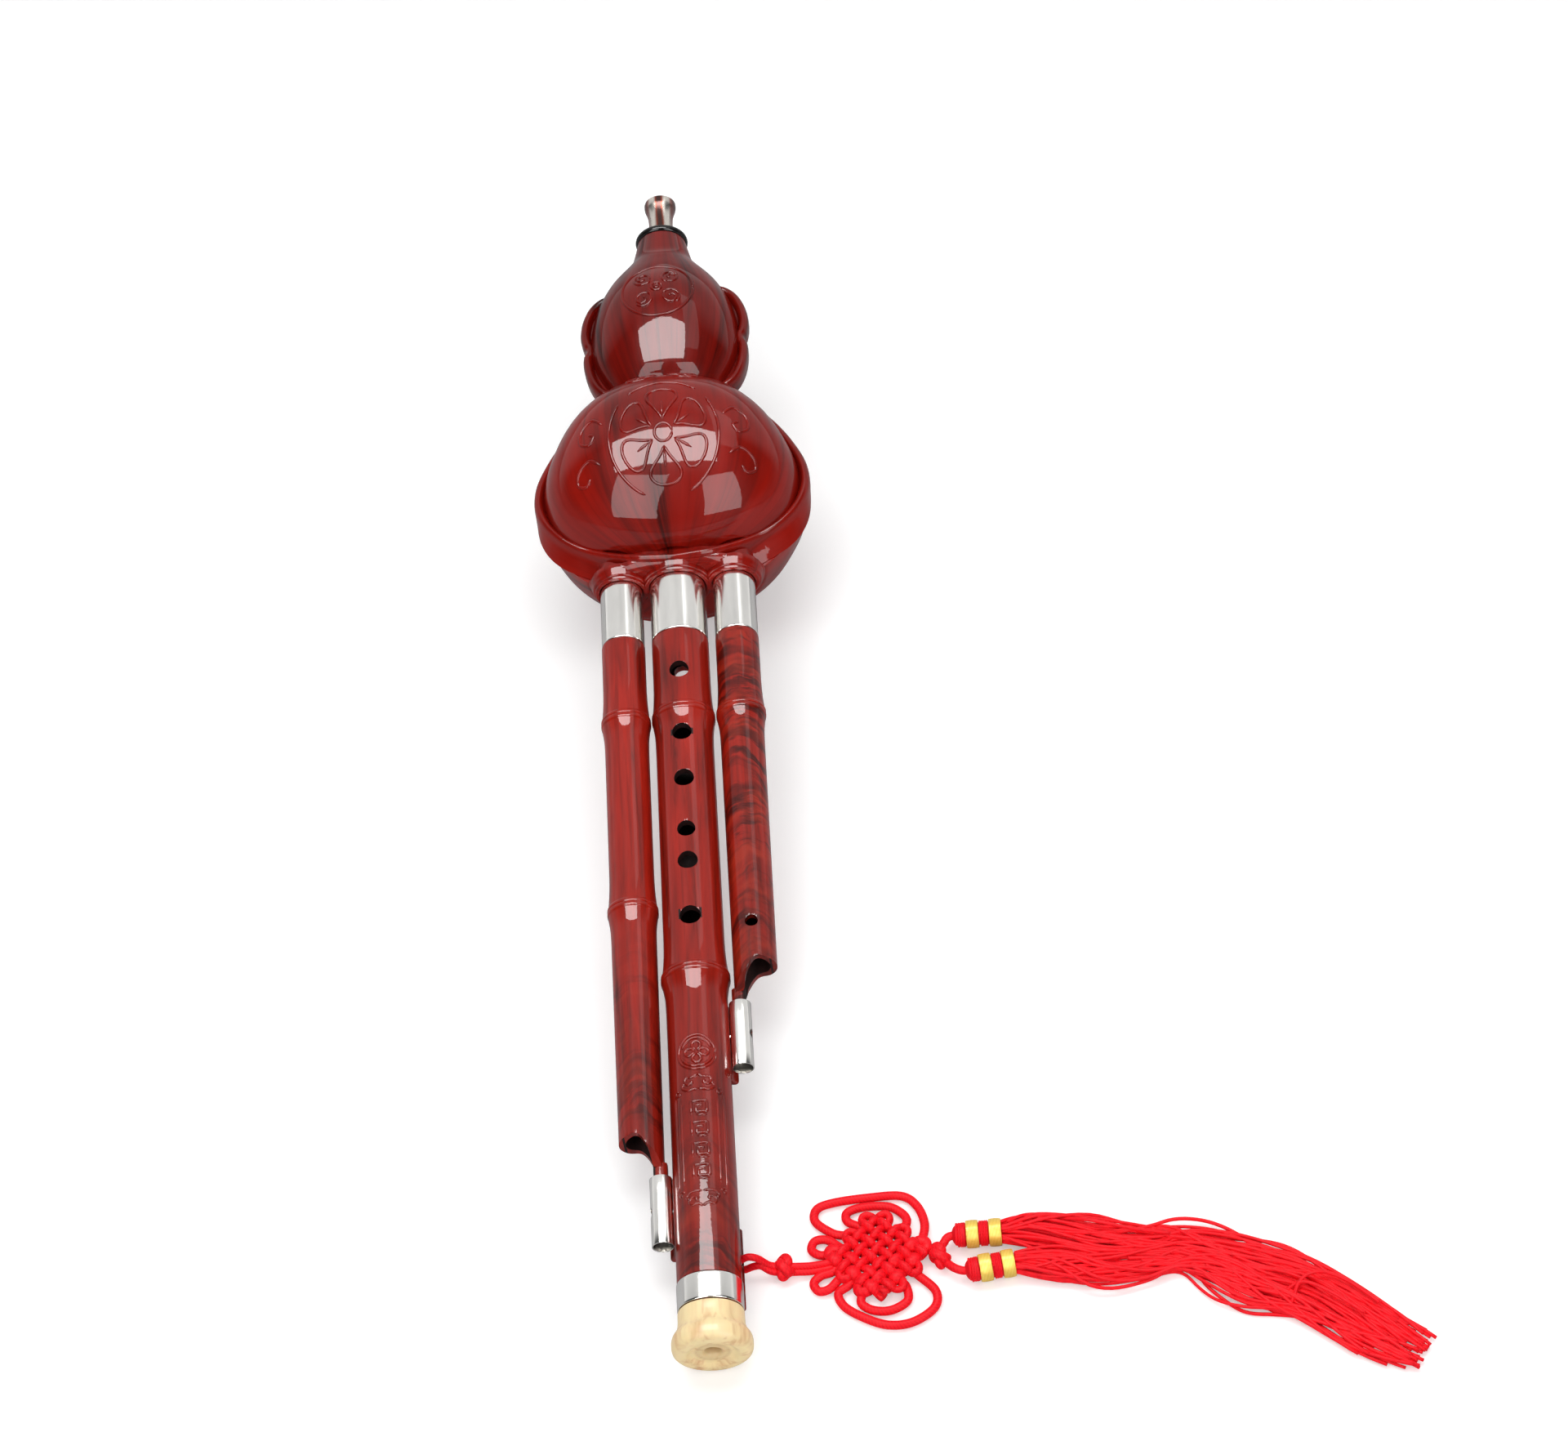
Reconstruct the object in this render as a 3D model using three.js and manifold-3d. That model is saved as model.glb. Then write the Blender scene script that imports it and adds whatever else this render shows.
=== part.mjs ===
// A hulusi: a gourd-shaped wind chest that feeds a melody pipe and two drone pipes,
// with a knotted cord and two tassels tied to the lug at the foot of the melody pipe.
// Millimetres. The instrument lies on its back: +X is the player's left, +Y runs to the
// mouthpiece and +Z is up. Inside the instrument group Y is the axis of the pipes.
import * as THREE from "three";
import { mergeVertices } from "three/addons/utils/BufferGeometryUtils.js";
import Module from "manifold-3d";

const wasm = await Module();
wasm.setup();

// Clearances and the overrun that every cut shares
const fit = 0.3;
const seam = 0.3;
const overrun = 2;

// Facets of round shapes
const roundSegments = 32;
const fineSegments = 20;
const boreSegments = 16;

// End plug
const plugBodyRadius = 10.6;
const plugBodyLength = 14.7;
const plugFlangeRadius = 12.95;
const plugFlangeLength = 7.2;
const plugEdge = 1.9;
const plugRecessRadius = 7.6;
const plugRecessDepth = 1.1;
const plugHoleRadius = 2.6;
const plugTenonLength = 13;

// Melody pipe
const pipeExposedLength = 258.9;
const pipeFootRadius = 10.4;
const pipeMiddleRadius = 10.2;
const pipeTopRadius = 9.95;
const pipeBoreRadius = 7;
const pipeTenonRadius = 9.1;
const pipeTenonLength = 71;
const reedEndWall = 3;
const upperNodeRadius = 10.95;
const lowerNodeRadius = 11.5;
const thumbHoleRadius = 3.1;

// Drone pipes
const droneSpacing = 20;
const droneRadius = 7.6;
const droneFootRadius = 7.3;
const droneNodeRadius = 8.6;
const droneBoreRadius = 5.1;
const droneTenonRadius = 6.7;
const droneTenonLength = 66;
const droneToneRadius = 2.2;
const droneSideToneRadius = 1.2;
const droneTopToneDepth = 12;
const dronePull = 3;

// Ferrules
const ferruleWall = 0.5;
const ferruleExposedLength = 23.6;
const ferruleHiddenLength = 12;

// Beaks, tails and the sleeves that hold them to the melody pipe
const leftSleeveRise = 24;
const rightSleeveBelowNode = 10.6;
const sleeveLength = 24.2;
const sleeveRadius = 3.7;
const sleeveWall = 0.45;
const tailRadius = 2.95;
const tailWidth = 3.6;
const tailInSleeve = 6;
const beakHeight = 13.5;
const sleeveHoleRadius = 1.7;
const ribLength = 28;
const ribReach = 2.2;
const ribHalfDepth = 4.7;
const screwHeadRadius = 1.5;
const screwHeadThickness = 0.8;
const screwShankRadius = 0.8;
const screwLength = 3.4;

// Foot band and cord lug
const bandLength = 9.2;
const bandWall = 0.45;
const bandRadius = 10.65;
const lugFoot = 19;
const lugLength = 29;
const lugReach = 4;
const lugWidth = 3.2;
const lugAngle = THREE.MathUtils.degToRad(48);
const lugHoleRadius = 1.5;

// Pipe seat, its collars, sockets and seals
const collarHeight = 2.3;
const seatThickness = 3.4;
const seatHalfWidth = 31.5;
const seatFrontDepth = 13.6;
const seatBackDepth = 25;
const socketWall = 2.3;
const socketDepth = 15;
const sealInset = 8;
const sealHeight = 3.4;
const sealThickness = 1.2;

// Gourd shells
const gourdLength = 154;
const gourdWall = 2.6;
const domeRadius = 46;
const domeFullness = 0.34;
const backRadius = 48.5;
const upperBackRadius = 29.2;
const neckRadius = 9.1;
const backDepthShare = 0.92;
const backRestShare = 0.2;
const rimHalfWidth = 49.4;
const rimDepth = 8.2;
const rimEdge = 2.4;
const earHalfWidth = 31.4;

// Mouthpiece and its collar
const mouthRadius = 4.6;
const mouthFlareRadius = 5.9;
const mouthBoreRadius = 2.7;
const mouthExposedLength = 17.8;
const mouthTenonLength = 16;
const gasketRadius = 9.8;
const gasketThickness = 2.8;

// Places along the axis, built up from the face of the plug
const pipeFoot = plugBodyLength + fit;
const ferruleFoot = pipeFoot + pipeExposedLength;
const collarFoot = ferruleFoot + ferruleExposedLength;
const seatFoot = collarFoot + collarHeight;
const gourdFoot = seatFoot + seatThickness + fit;
const gourdTop = gourdFoot + gourdLength;
const gasketFoot = gourdTop + fit;
const gasketTop = gasketFoot + gasketThickness;
const mouthTip = gasketTop + mouthExposedLength;
const sealFoot = seatFoot + sealInset;
const socketTop = seatFoot + seatThickness + socketDepth;

// A place on the melody pipe as a share of its exposed length, and the sleeves beside it
const placeOnPipe = (share) => pipeFoot + share * pipeExposedLength;
const leftSleeveFoot = pipeFoot + leftSleeveRise;
const leftSleeveTop = leftSleeveFoot + sleeveLength;
const lowerNodeShare = 0.4677;
const rightSleeveTop = placeOnPipe(lowerNodeShare) - rightSleeveBelowNode;
const rightSleeveFoot = rightSleeveTop - sleeveLength;

// Radii that follow their neighbours
const ferruleRadius = pipeTenonRadius + fit + ferruleWall;
const droneFerruleRadius = droneTenonRadius + fit + ferruleWall;
const socketRadius = ferruleRadius + fit + socketWall;
const droneSocketRadius = droneFerruleRadius + fit + socketWall;
const sleeveOffset = pipeMiddleRadius + fit + sleeveRadius;
const bandSeatRadius = bandRadius - bandWall - fit;

// Finger holes of the melody pipe: place as a share of its exposed length, and radius
const fingerHoles = [
  { placeShare: 0.9305, radius: 3.35 },
  { placeShare: 0.8293, radius: 3.35 },
  { placeShare: 0.7559, radius: 3.4 },
  { placeShare: 0.6759, radius: 3.1 },
  { placeShare: 0.6273, radius: 3.4 },
  { placeShare: 0.5435, radius: 3.55 },
];
const thumbHoleShare = 0.969;
const upperNodeShare = 0.873;
const droneLowerNodeShare = 0.577;

// A bamboo node: step along the axis as a share of nodeLength, and share of its swelling
const nodeLength = 12;
const nodeShares = [
  [-1, 0],
  [-0.35, 0.4],
  [-0.08, 1],
  [0.06, 1],
  [0.28, 0.5],
  [1, 0],
];

// Gourd front: height as a share of gourdLength, half width and depth as shares of domeRadius
const frontShares = [
  [0.0123, 0.0196, 0.0174],
  [0.0162, 0.2913, 0.2261],
  [0.0409, 0.5652, 0.4261],
  [0.0786, 0.7826, 0.5826],
  [0.1253, 0.9217, 0.6848],
  [0.1792, 0.987, 0.7609],
  [0.2305, 1, 0.8109],
  [0.2825, 0.963, 0.8391],
  [0.3214, 0.9109, 0.8413],
  [0.3604, 0.8435, 0.8196],
  [0.3994, 0.75, 0.7543],
  [0.4351, 0.6478, 0.65],
  [0.4708, 0.5283, 0.4957],
  [0.4968, 0.4652, 0.3391],
  [0.5123, 0.4587, 0.3065],
  [0.5357, 0.4826, 0.3717],
  [0.5682, 0.5391, 0.4174],
  [0.6071, 0.5891, 0.4609],
  [0.6461, 0.6065, 0.4957],
  [0.6981, 0.6065, 0.5283],
  [0.7468, 0.5783, 0.5304],
  [0.7857, 0.5413, 0.4978],
  [0.8357, 0.4674, 0.4196],
  [0.8662, 0.4022, 0.363],
  [0.8961, 0.3261, 0.3065],
];

// Heights between which the lower dome gets full across, and between which it gets round again
const fullShares = [0.016, 0.12, 0.419, 0.523];

// Gourd outlines: height as a share of gourdLength, and share of the named radius beside it
const backShares = [
  [0, 0.64],
  [0.016, 0.7],
  [0.055, 0.815],
  [0.1, 0.9],
  [0.15, 0.97],
  [backRestShare, 1],
  [0.25, 1],
  [0.315, 0.96],
  [0.395, 0.835],
  [0.46, 0.69],
  [0.51, 0.555],
];
const upperBackShares = [
  [0.55, 0.855],
  [0.6, 0.92],
  [0.667, 1],
  [0.72, 1],
  [0.782, 0.9],
  [0.836, 0.737],
  [0.866, 0.634],
  [0.896, 0.514],
];
const neckShares = [
  [0.926, 1.32],
  [0.958, 1.15],
  [1, 1],
];
const rimShares = [
  [0, 0.002],
  [0.3, 0.012],
  [0.57, 0.039],
  [0.77, 0.075],
  [0.92, 0.127],
  [1, 0.192],
  [1, 0.244],
  [0.95, 0.302],
  [0.83, 0.38],
  [0.63, 0.461],
  [0.5, 0.505],
];
const earShares = [
  [0.6, 0.5],
  [0.8, 0.525],
  [0.93, 0.58],
  [0.975, 0.64],
  [0.93, 0.658],
  [0.99, 0.68],
  [1, 0.703],
  [0.95, 0.76],
  [0.83, 0.808],
  [0.6, 0.815],
];

// Free cord: single and doubled thickness, and the routes, on the table that the part lies on
const cordDiameter = 2.5;
const pairDiameter = 3;
const cordSides = 8;
const cordStep = 3;
const leastCordSteps = 5;
const hangingRoute = [
  [9.75, -201.47, 8.16],
  [11.6, -201.6, 9.4],
  [13.6, -201.7, 9.3],
  [15.5, -201.8, 7.9],
  [17.1, -202.1, 6.1],
  [18.9, -202.4, 4.6],
];
const linkRoute = [
  [27.6, -202.7, 3.2],
  [31.5, -202.5, 2.6],
  [35.4, -202.2, 2.6],
  [37.4, -202.0, 2.8],
];
const upperOuterRoute = [
  [45.2, -193.3, 1.8],
  [43.5, -191.7, 1.8],
  [38.9, -190.0, 1.6],
  [33.6, -184.9, 1.4],
  [34.4, -180.2, 1.4],
  [40.2, -178.3, 1.4],
  [51.0, -177.6, 1.4],
  [61.6, -178.0, 1.4],
  [66.6, -182.4, 1.4],
  [68.6, -189.6, 1.6],
  [67.2, -195.9, 1.8],
  [65.4, -197.7, 1.8],
];
const upperInnerRoute = [
  [48.6, -189.8, 1.8],
  [47.2, -188.4, 1.8],
  [43.9, -186.0, 1.6],
  [43.8, -182.9, 1.4],
  [47.2, -181.3, 1.4],
  [53.0, -181.0, 1.4],
  [58.6, -182.2, 1.4],
  [62.8, -186.6, 1.6],
  [62.0, -191.0, 1.8],
  [60.3, -192.7, 1.8],
];
const lowerOuterRoute = [
  [44.6, -208.7, 1.8],
  [42.7, -210.4, 1.8],
  [39.6, -212.8, 1.6],
  [41.4, -217.6, 1.4],
  [47.3, -222.2, 1.4],
  [54.6, -225.6, 1.4],
  [62.4, -225.4, 1.4],
  [69.6, -220.9, 1.4],
  [70.6, -215.0, 1.6],
  [65.6, -208.9, 1.8],
  [63.5, -206.8, 1.8],
];
const lowerInnerRoute = [
  [48.5, -212.7, 1.8],
  [47.1, -214.2, 1.8],
  [46.9, -217.3, 1.6],
  [50.6, -219.9, 1.4],
  [56.2, -220.3, 1.4],
  [61.4, -217.4, 1.6],
  [61.3, -212.4, 1.8],
  [59.6, -210.7, 1.8],
];
const upperEarRoute = [
  [39.4, -199.1, 2.2],
  [38.0, -198.1, 2.1],
  [34.6, -198.0, 1.8],
  [31.9, -195.6, 1.5],
  [33.1, -192.4, 1.5],
  [36.9, -192.4, 1.8],
  [40.4, -195.3, 2.1],
  [41.8, -196.7, 2.2],
];
const lowerEarRoute = [
  [39.4, -203.6, 2.2],
  [38.0, -204.9, 2.1],
  [34.4, -205.7, 1.8],
  [32.0, -208.1, 1.5],
  [33.5, -211.1, 1.5],
  [36.9, -210.8, 1.8],
  [40.3, -207.5, 2.1],
  [41.9, -205.9, 2.2],
];
const upperTasselRoute = [
  [74.4, -198.8, 4.2],
  [75.1, -197.8, 4.5],
  [76.3, -197.0, 4.6],
];
const lowerTasselRoute = [
  [75.5, -207.1, 4.0],
  [77.2, -208.9, 4.5],
  [79.6, -210.1, 4.6],
];

// Knots and tassels
const knotRadius = 4.1;
const knotHeightShare = 0.86;
const firstKnot = [23.1, -202.6];
const secondKnot = [72.6, -203.3];
const meshKnotCentre = [53.1, -201.3];
const meshKnotHalfDiagonal = 15.2;
const meshKnotHeight = 6.4;
const meshKnotChamfer = 1.2;
const headRadius = 4.3;
const headCoreRadius = 3.7;
const headCapLength = 4;
const bandStripLength = 4;
const headBindingLength = 2.7;
const goldWall = 0.35;
const tasselGap = 0.3;
const upperTassel = { start: [77.3, -196.7], end: [92.2, -196.9] };
const lowerTassel = { start: [80.6, -210.2], end: [95.8, -208.7] };
const capShares = [
  [0, 0.35],
  [0.12, 0.7],
  [0.4, 0.95],
  [0.75, 1],
];

// Tassel skirts: stations on the table, half width and height
const skirtSides = 10;
const skirtTopHalf = 4.2;
const upperSkirt = [
  { at: [104.0, -197.0], half: 5.3, height: 7.4 },
  { at: [125.0, -202.9], half: 5.0, height: 5.4 },
  { at: [140.0, -204.6], half: 4.2, height: 4.6 },
  { at: [150.0, -205.0], half: 3.4, height: 4.4 },
  { at: [162.0, -208.8], half: 4.6, height: 4.2 },
  { at: [176.0, -215.2], half: 4.8, height: 4.0 },
  { at: [190.0, -223.2], half: 4.6, height: 3.6 },
  { at: [207.0, -238.0], half: 4.2, height: 3.2 },
  { at: [221.0, -250.4], half: 2.8, height: 2.8 },
];
const lowerSkirt = [
  { at: [108.0, -210.6], half: 5.0, height: 7.0 },
  { at: [122.0, -213.2], half: 4.8, height: 5.2 },
  { at: [136.0, -213.4], half: 3.9, height: 4.6 },
  { at: [148.0, -212.6], half: 3.2, height: 4.4 },
  { at: [158.0, -217.0], half: 4.2, height: 4.2 },
  { at: [170.0, -224.9], half: 5.0, height: 4.0 },
  { at: [185.0, -232.2], half: 4.6, height: 3.6 },
  { at: [203.0, -247.0], half: 4.4, height: 3.2 },
  { at: [218.0, -257.6], half: 2.8, height: 2.8 },
];

// Surface finishes
const finish = (color, roughness, metalness) =>
  new THREE.MeshStandardMaterial({ color, roughness, metalness });
const gourdGloss = finish(0x8e1409, 0.2, 0);
const pipeGloss = finish(0xa32416, 0.25, 0);
const nickel = finish(0xc9c6c0, 0.2, 1);
const blackGloss = finish(0x161414, 0.25, 0);
const bone = finish(0xf8e0ac, 0.4, 0);
const brass = finish(0xb88a3c, 0.35, 1);
const rubber = finish(0x2c2a28, 0.8, 0);
const redCord = finish(0xf5222d, 0.7, 0);
const goldThread = finish(0xf6d34a, 0.45, 0);

// Solids and meshes
function solidOf(geometry) {
  const bare = geometry.index ? geometry.toNonIndexed() : geometry.clone();
  bare.deleteAttribute("normal");
  bare.deleteAttribute("uv");
  const merged = mergeVertices(bare);
  const vertProperties = new Float32Array(merged.attributes.position.array);
  const triVerts = new Uint32Array(merged.index.array);
  return new wasm.Manifold(new wasm.Mesh({ numProp: 3, vertProperties, triVerts }));
}

function geometryOf(solid) {
  const { vertProperties, triVerts } = solid.getMesh();
  const geometry = new THREE.BufferGeometry();
  geometry.setAttribute("position", new THREE.BufferAttribute(vertProperties, 3));
  geometry.setIndex(new THREE.BufferAttribute(triVerts, 1));
  return geometry;
}

function addNode(group, name, solid, material) {
  const mesh = new THREE.Mesh(geometryOf(solid), material);
  mesh.name = name;
  group.add(mesh);
}

// A turned shape about Y from [height, radius] pairs that run upwards, with a flat below
function turnedGeometry(profile, segments = roundSegments) {
  const points = profile.map(([height, radius]) => new THREE.Vector2(radius, height));
  return new THREE.LatheGeometry(points, segments, Math.PI / segments);
}

function turned(profile, segments) {
  const closed = [[profile[0][0], 0], ...profile, [profile[profile.length - 1][0], 0]];
  return solidOf(turnedGeometry(closed, segments));
}

function rod(radius, low, high, segments) {
  return turned([[low, radius], [high, radius]], segments);
}

function ring(inner, outer, low, high, segments) {
  const section = [[low, inner], [low, outer], [high, outer], [high, inner], [low, inner]];
  return solidOf(turnedGeometry(section, segments));
}

function block(low, high) {
  const size = high.map((value, index) => value - low[index]);
  const geometry = new THREE.BoxGeometry(...size);
  geometry.translate(...high.map((value, index) => (value + low[index]) / 2));
  return solidOf(geometry);
}

// A round cutter from one point to another
function drill(radius, from, to, segments = boreSegments) {
  const start = new THREE.Vector3(...from);
  const reach = new THREE.Vector3(...to).sub(start);
  const geometry = new THREE.CylinderGeometry(radius, radius, reach.length(), segments);
  const up = new THREE.Vector3(0, 1, 0);
  const turn = new THREE.Quaternion().setFromUnitVectors(up, reach.clone().normalize());
  geometry.applyQuaternion(turn);
  const middle = start.addScaledVector(reach, 1 / 2);
  geometry.translate(middle.x, middle.y, middle.z);
  return solidOf(geometry);
}

function moved(solid, x, y, z) {
  const geometry = geometryOf(solid);
  geometry.translate(x, y, z);
  return solidOf(geometry);
}

function extruded(outline, depth, options = {}) {
  const shape = new THREE.Shape(outline.map(([x, y]) => new THREE.Vector2(x, y)));
  return new THREE.ExtrudeGeometry(shape, { depth, bevelEnabled: false, ...options });
}

// The swelling of a bamboo node on a pipe of the given radius
function nodeProfile(centre, radius, crest) {
  return nodeShares.map(([step, share]) => [
    centre + step * nodeLength,
    radius + share * (crest - radius),
  ]);
}

// End plug
function endPlug() {
  const body = turned([
    [0, plugFlangeRadius - plugEdge],
    [plugEdge, plugFlangeRadius],
    [plugFlangeLength - plugEdge, plugFlangeRadius],
    [plugFlangeLength, plugBodyRadius],
    [plugBodyLength, plugBodyRadius],
    [plugBodyLength, pipeBoreRadius - fit],
    [plugBodyLength + plugTenonLength, pipeBoreRadius - fit],
  ]);
  const recess = rod(plugRecessRadius, -overrun, plugRecessDepth);
  const hole = rod(plugHoleRadius, -overrun, plugBodyLength + plugTenonLength + overrun, fineSegments);
  return body.subtract(recess).subtract(hole);
}

// Melody pipe with its sleeve ribs and cord lug
function ribAt(side, foot) {
  const inner = pipeMiddleRadius - ribReach / 2;
  const outer = pipeMiddleRadius + ribReach;
  const top = foot + ribLength;
  const bar = block(
    [Math.min(side * inner, side * outer), foot, -ribHalfDepth],
    [Math.max(side * inner, side * outer), top, ribHalfDepth],
  );
  const cradle = rod(sleeveRadius + fit, foot - overrun, top + overrun, fineSegments);
  return bar.subtract(moved(cradle, side * sleeveOffset, 0, 0));
}

function lugBar() {
  const geometry = new THREE.BoxGeometry(
    pipeFootRadius - pipeBoreRadius + lugReach,
    lugLength,
    lugWidth,
  );
  const bevel = (pipeFootRadius + lugReach + pipeBoreRadius) / 2;
  geometry.translate(bevel, lugFoot + lugLength / 2, 0);
  geometry.rotateY(lugAngle);
  return solidOf(geometry);
}

function lugPoint(radius, across) {
  const cos = Math.cos(lugAngle);
  const sin = Math.sin(lugAngle);
  return [radius * cos + across * sin, lugFoot + lugLength * lugHoleShare, across * cos - radius * sin];
}

const lugHoleShare = 0.58;
const lugHoleReach = pipeFootRadius + lugReach / 2;

function mainPipe() {
  const tenonTop = ferruleFoot + pipeTenonLength;
  const body = turned([
    [pipeFoot, pipeFootRadius],
    [placeOnPipe(lowerNodeShare) - 2 * nodeLength, pipeMiddleRadius],
    ...nodeProfile(placeOnPipe(lowerNodeShare), pipeMiddleRadius, lowerNodeRadius),
    ...nodeProfile(placeOnPipe(upperNodeShare), pipeTopRadius, upperNodeRadius),
    [ferruleFoot - fit, pipeTopRadius],
    [ferruleFoot - fit, pipeTenonRadius],
    [tenonTop, pipeTenonRadius],
  ]);
  let solid = body.add(ribAt(-1, leftSleeveFoot + sleeveLength - ribLength));
  solid = solid.add(ribAt(1, rightSleeveFoot + sleeveLength - ribLength)).add(lugBar());
  solid = solid.subtract(rod(pipeBoreRadius, pipeFoot - overrun, tenonTop - reedEndWall));
  const seat = ring(bandSeatRadius, bandRadius + fit, lugFoot - bandLength, pipeFoot + bandLength + fit);
  solid = solid.subtract(seat);
  for (const hole of fingerHoles) {
    const place = placeOnPipe(hole.placeShare);
    solid = solid.subtract(drill(hole.radius, [0, place, 0], [0, place, 2 * pipeFootRadius]));
  }
  const thumb = placeOnPipe(thumbHoleShare);
  solid = solid.subtract(drill(thumbHoleRadius, [0, thumb, 0], [0, thumb, -2 * pipeFootRadius]));
  for (const [side, foot] of [[-1, leftSleeveFoot], [1, rightSleeveFoot]]) {
    const place = foot + sleeveLength / 2;
    const pilot = drill(
      screwShankRadius + fit,
      [side * pipeBoreRadius / 2, place, 0],
      [side * sleeveOffset, place, 0],
    );
    solid = solid.subtract(pilot);
  }
  const cordHole = drill(
    lugHoleRadius,
    lugPoint(lugHoleReach, -lugWidth),
    lugPoint(lugHoleReach, lugWidth),
    fineSegments,
  );
  return solid.subtract(cordHole).subtract(reedSeat(pipeTenonRadius, tenonTop));
}

// The flat on a tenon that a reed plate lies on, and the window through it to the bore
const reedPlateLength = 22;
const reedPlateHalfWidth = 2.4;
const reedPlateThickness = 0.5;
const reedPlateDrop = 5;
const reedFlatDepth = 1.25;
const reedWindowHalfWidth = 1.6;
const reedWindowLength = 16;
const reedSlit = 0.3;
const tongueHalfWidth = 1;

function reedSeat(radius, tenonTop) {
  const flat = radius - reedFlatDepth;
  const top = tenonTop - reedPlateDrop + fit;
  const bottom = top - reedPlateLength - 2 * fit;
  const middle = (top + bottom) / 2;
  const shelf = block([-radius, bottom, flat], [radius, top, radius + overrun]);
  const window = block(
    [-reedWindowHalfWidth, middle - reedWindowLength / 2, 0],
    [reedWindowHalfWidth, middle + reedWindowLength / 2, radius + overrun],
  );
  return shelf.add(window);
}

// A reed plate with its tongue cut free on three sides
function reedPlate(radius, tenonTop) {
  const low = radius - reedFlatDepth + fit;
  const high = low + reedPlateThickness;
  const top = tenonTop - reedPlateDrop;
  const middle = top - reedPlateLength / 2;
  const half = reedWindowLength / 2 - reedPlateThickness;
  const plate = block(
    [-reedPlateHalfWidth, top - reedPlateLength, low],
    [reedPlateHalfWidth, top, high],
  );
  const outline = block(
    [-tongueHalfWidth - reedSlit, middle - half, low - overrun],
    [tongueHalfWidth + reedSlit, middle + half, high + overrun],
  );
  const tongue = block(
    [-tongueHalfWidth, middle - half - overrun, low - overrun],
    [tongueHalfWidth, middle + half - reedSlit, high + overrun],
  );
  return plate.subtract(outline.subtract(tongue));
}

// Drone pipe: its foot is cut to a beak, and the strip of wall left beside the melody pipe is the tail,
// flat towards that pipe so that the pipe's node can be pulled past it
function dronePipe(side, sleeveTop, nodeShareList, toneHole) {
  const tenonTop = ferruleFoot + droneTenonLength;
  const shoulder = sleeveTop + dronePull + fit;
  const body = turned([
    [shoulder, droneFootRadius],
    ...nodeShareList.flatMap((share) => nodeProfile(placeOnPipe(share), droneRadius, droneNodeRadius)),
    [ferruleFoot - fit, droneRadius],
    [ferruleFoot - fit, droneTenonRadius],
    [tenonTop, droneTenonRadius],
  ]);
  const tailInner = droneSpacing - droneFootRadius;
  const tailEdge = tailWidth / droneFootRadius - 1;
  const beakShares = [
    [1.3, 0.98],
    [0.2, 1.04],
    [-0.1, 0.93],
    [-0.37, 0.66],
    [tailEdge, 0.3],
    [tailEdge, -1],
    [1.3, -1],
  ];
  const outline = beakShares.map(([across, up]) => [across * droneFootRadius, sleeveTop + up * beakHeight]);
  const cutter = extruded(outline, 3 * droneFootRadius);
  cutter.translate(0, 0, -3 * droneFootRadius / 2);
  if (side < 0) cutter.rotateY(Math.PI);
  const wide = 2 * droneRadius;
  const taper = extruded([
    [tailRadius, shoulder],
    [wide, shoulder + beakHeight],
    [wide, tenonTop + overrun],
    [-wide, tenonTop + overrun],
    [-wide, shoulder + beakHeight],
    [-tailRadius, shoulder],
  ], 2 * wide);
  taper.translate(0, 0, -wide);
  taper.rotateY(Math.PI / 2);
  let solid = body.subtract(rod(droneBoreRadius, shoulder - overrun, tenonTop - reedEndWall, fineSegments));
  solid = solid.intersect(solidOf(taper)).subtract(solidOf(cutter));
  const tailTop = shoulder + tailWidth / 2;
  const tail = moved(
    rod(tailRadius, sleeveTop - tailInSleeve, tailTop, fineSegments),
    side * (sleeveOffset - droneSpacing),
    0,
    0,
  );
  const keep = tailInner - droneSpacing + tailWidth;
  const face = lowerNodeRadius + fit - droneSpacing;
  const clip = side > 0
    ? block([face, 0, -droneRadius], [keep, tenonTop, droneRadius])
    : block([-keep, 0, -droneRadius], [-face, tenonTop, droneRadius]);
  solid = solid.add(tail.intersect(clip));
  solid = solid.subtract(reedSeat(droneTenonRadius, tenonTop)).subtract(toneHole);
  return moved(solid, side * droneSpacing, 0, 0);
}

// Sleeve open at both ends, with its screw hole and the access hole across from it
function sleeve(side, foot) {
  const place = foot + sleeveLength / 2;
  let solid = ring(sleeveRadius - sleeveWall, sleeveRadius, foot, foot + sleeveLength, fineSegments);
  const screwHole = drill(screwShankRadius + fit, [0, place, 0], [-side * 2 * sleeveRadius, place, 0]);
  const access = drill(sleeveHoleRadius, [0, place, 0], [side * 2 * sleeveRadius, place, 0]);
  solid = solid.subtract(screwHole).subtract(access);
  return moved(solid, side * sleeveOffset, 0, 0);
}

function sleeveScrew(side, foot) {
  const place = foot + sleeveLength / 2;
  const bore = sleeveRadius - sleeveWall;
  const seat = sleeveOffset - Math.sqrt(bore ** 2 - screwHeadRadius ** 2) + fit;
  const head = drill(
    screwHeadRadius,
    [side * seat, place, 0],
    [side * (seat + screwHeadThickness), place, 0],
  );
  const shank = drill(
    screwShankRadius,
    [side * (seat - screwLength), place, 0],
    [side * (seat + screwHeadThickness / 2), place, 0],
  );
  return head.add(shank);
}

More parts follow.
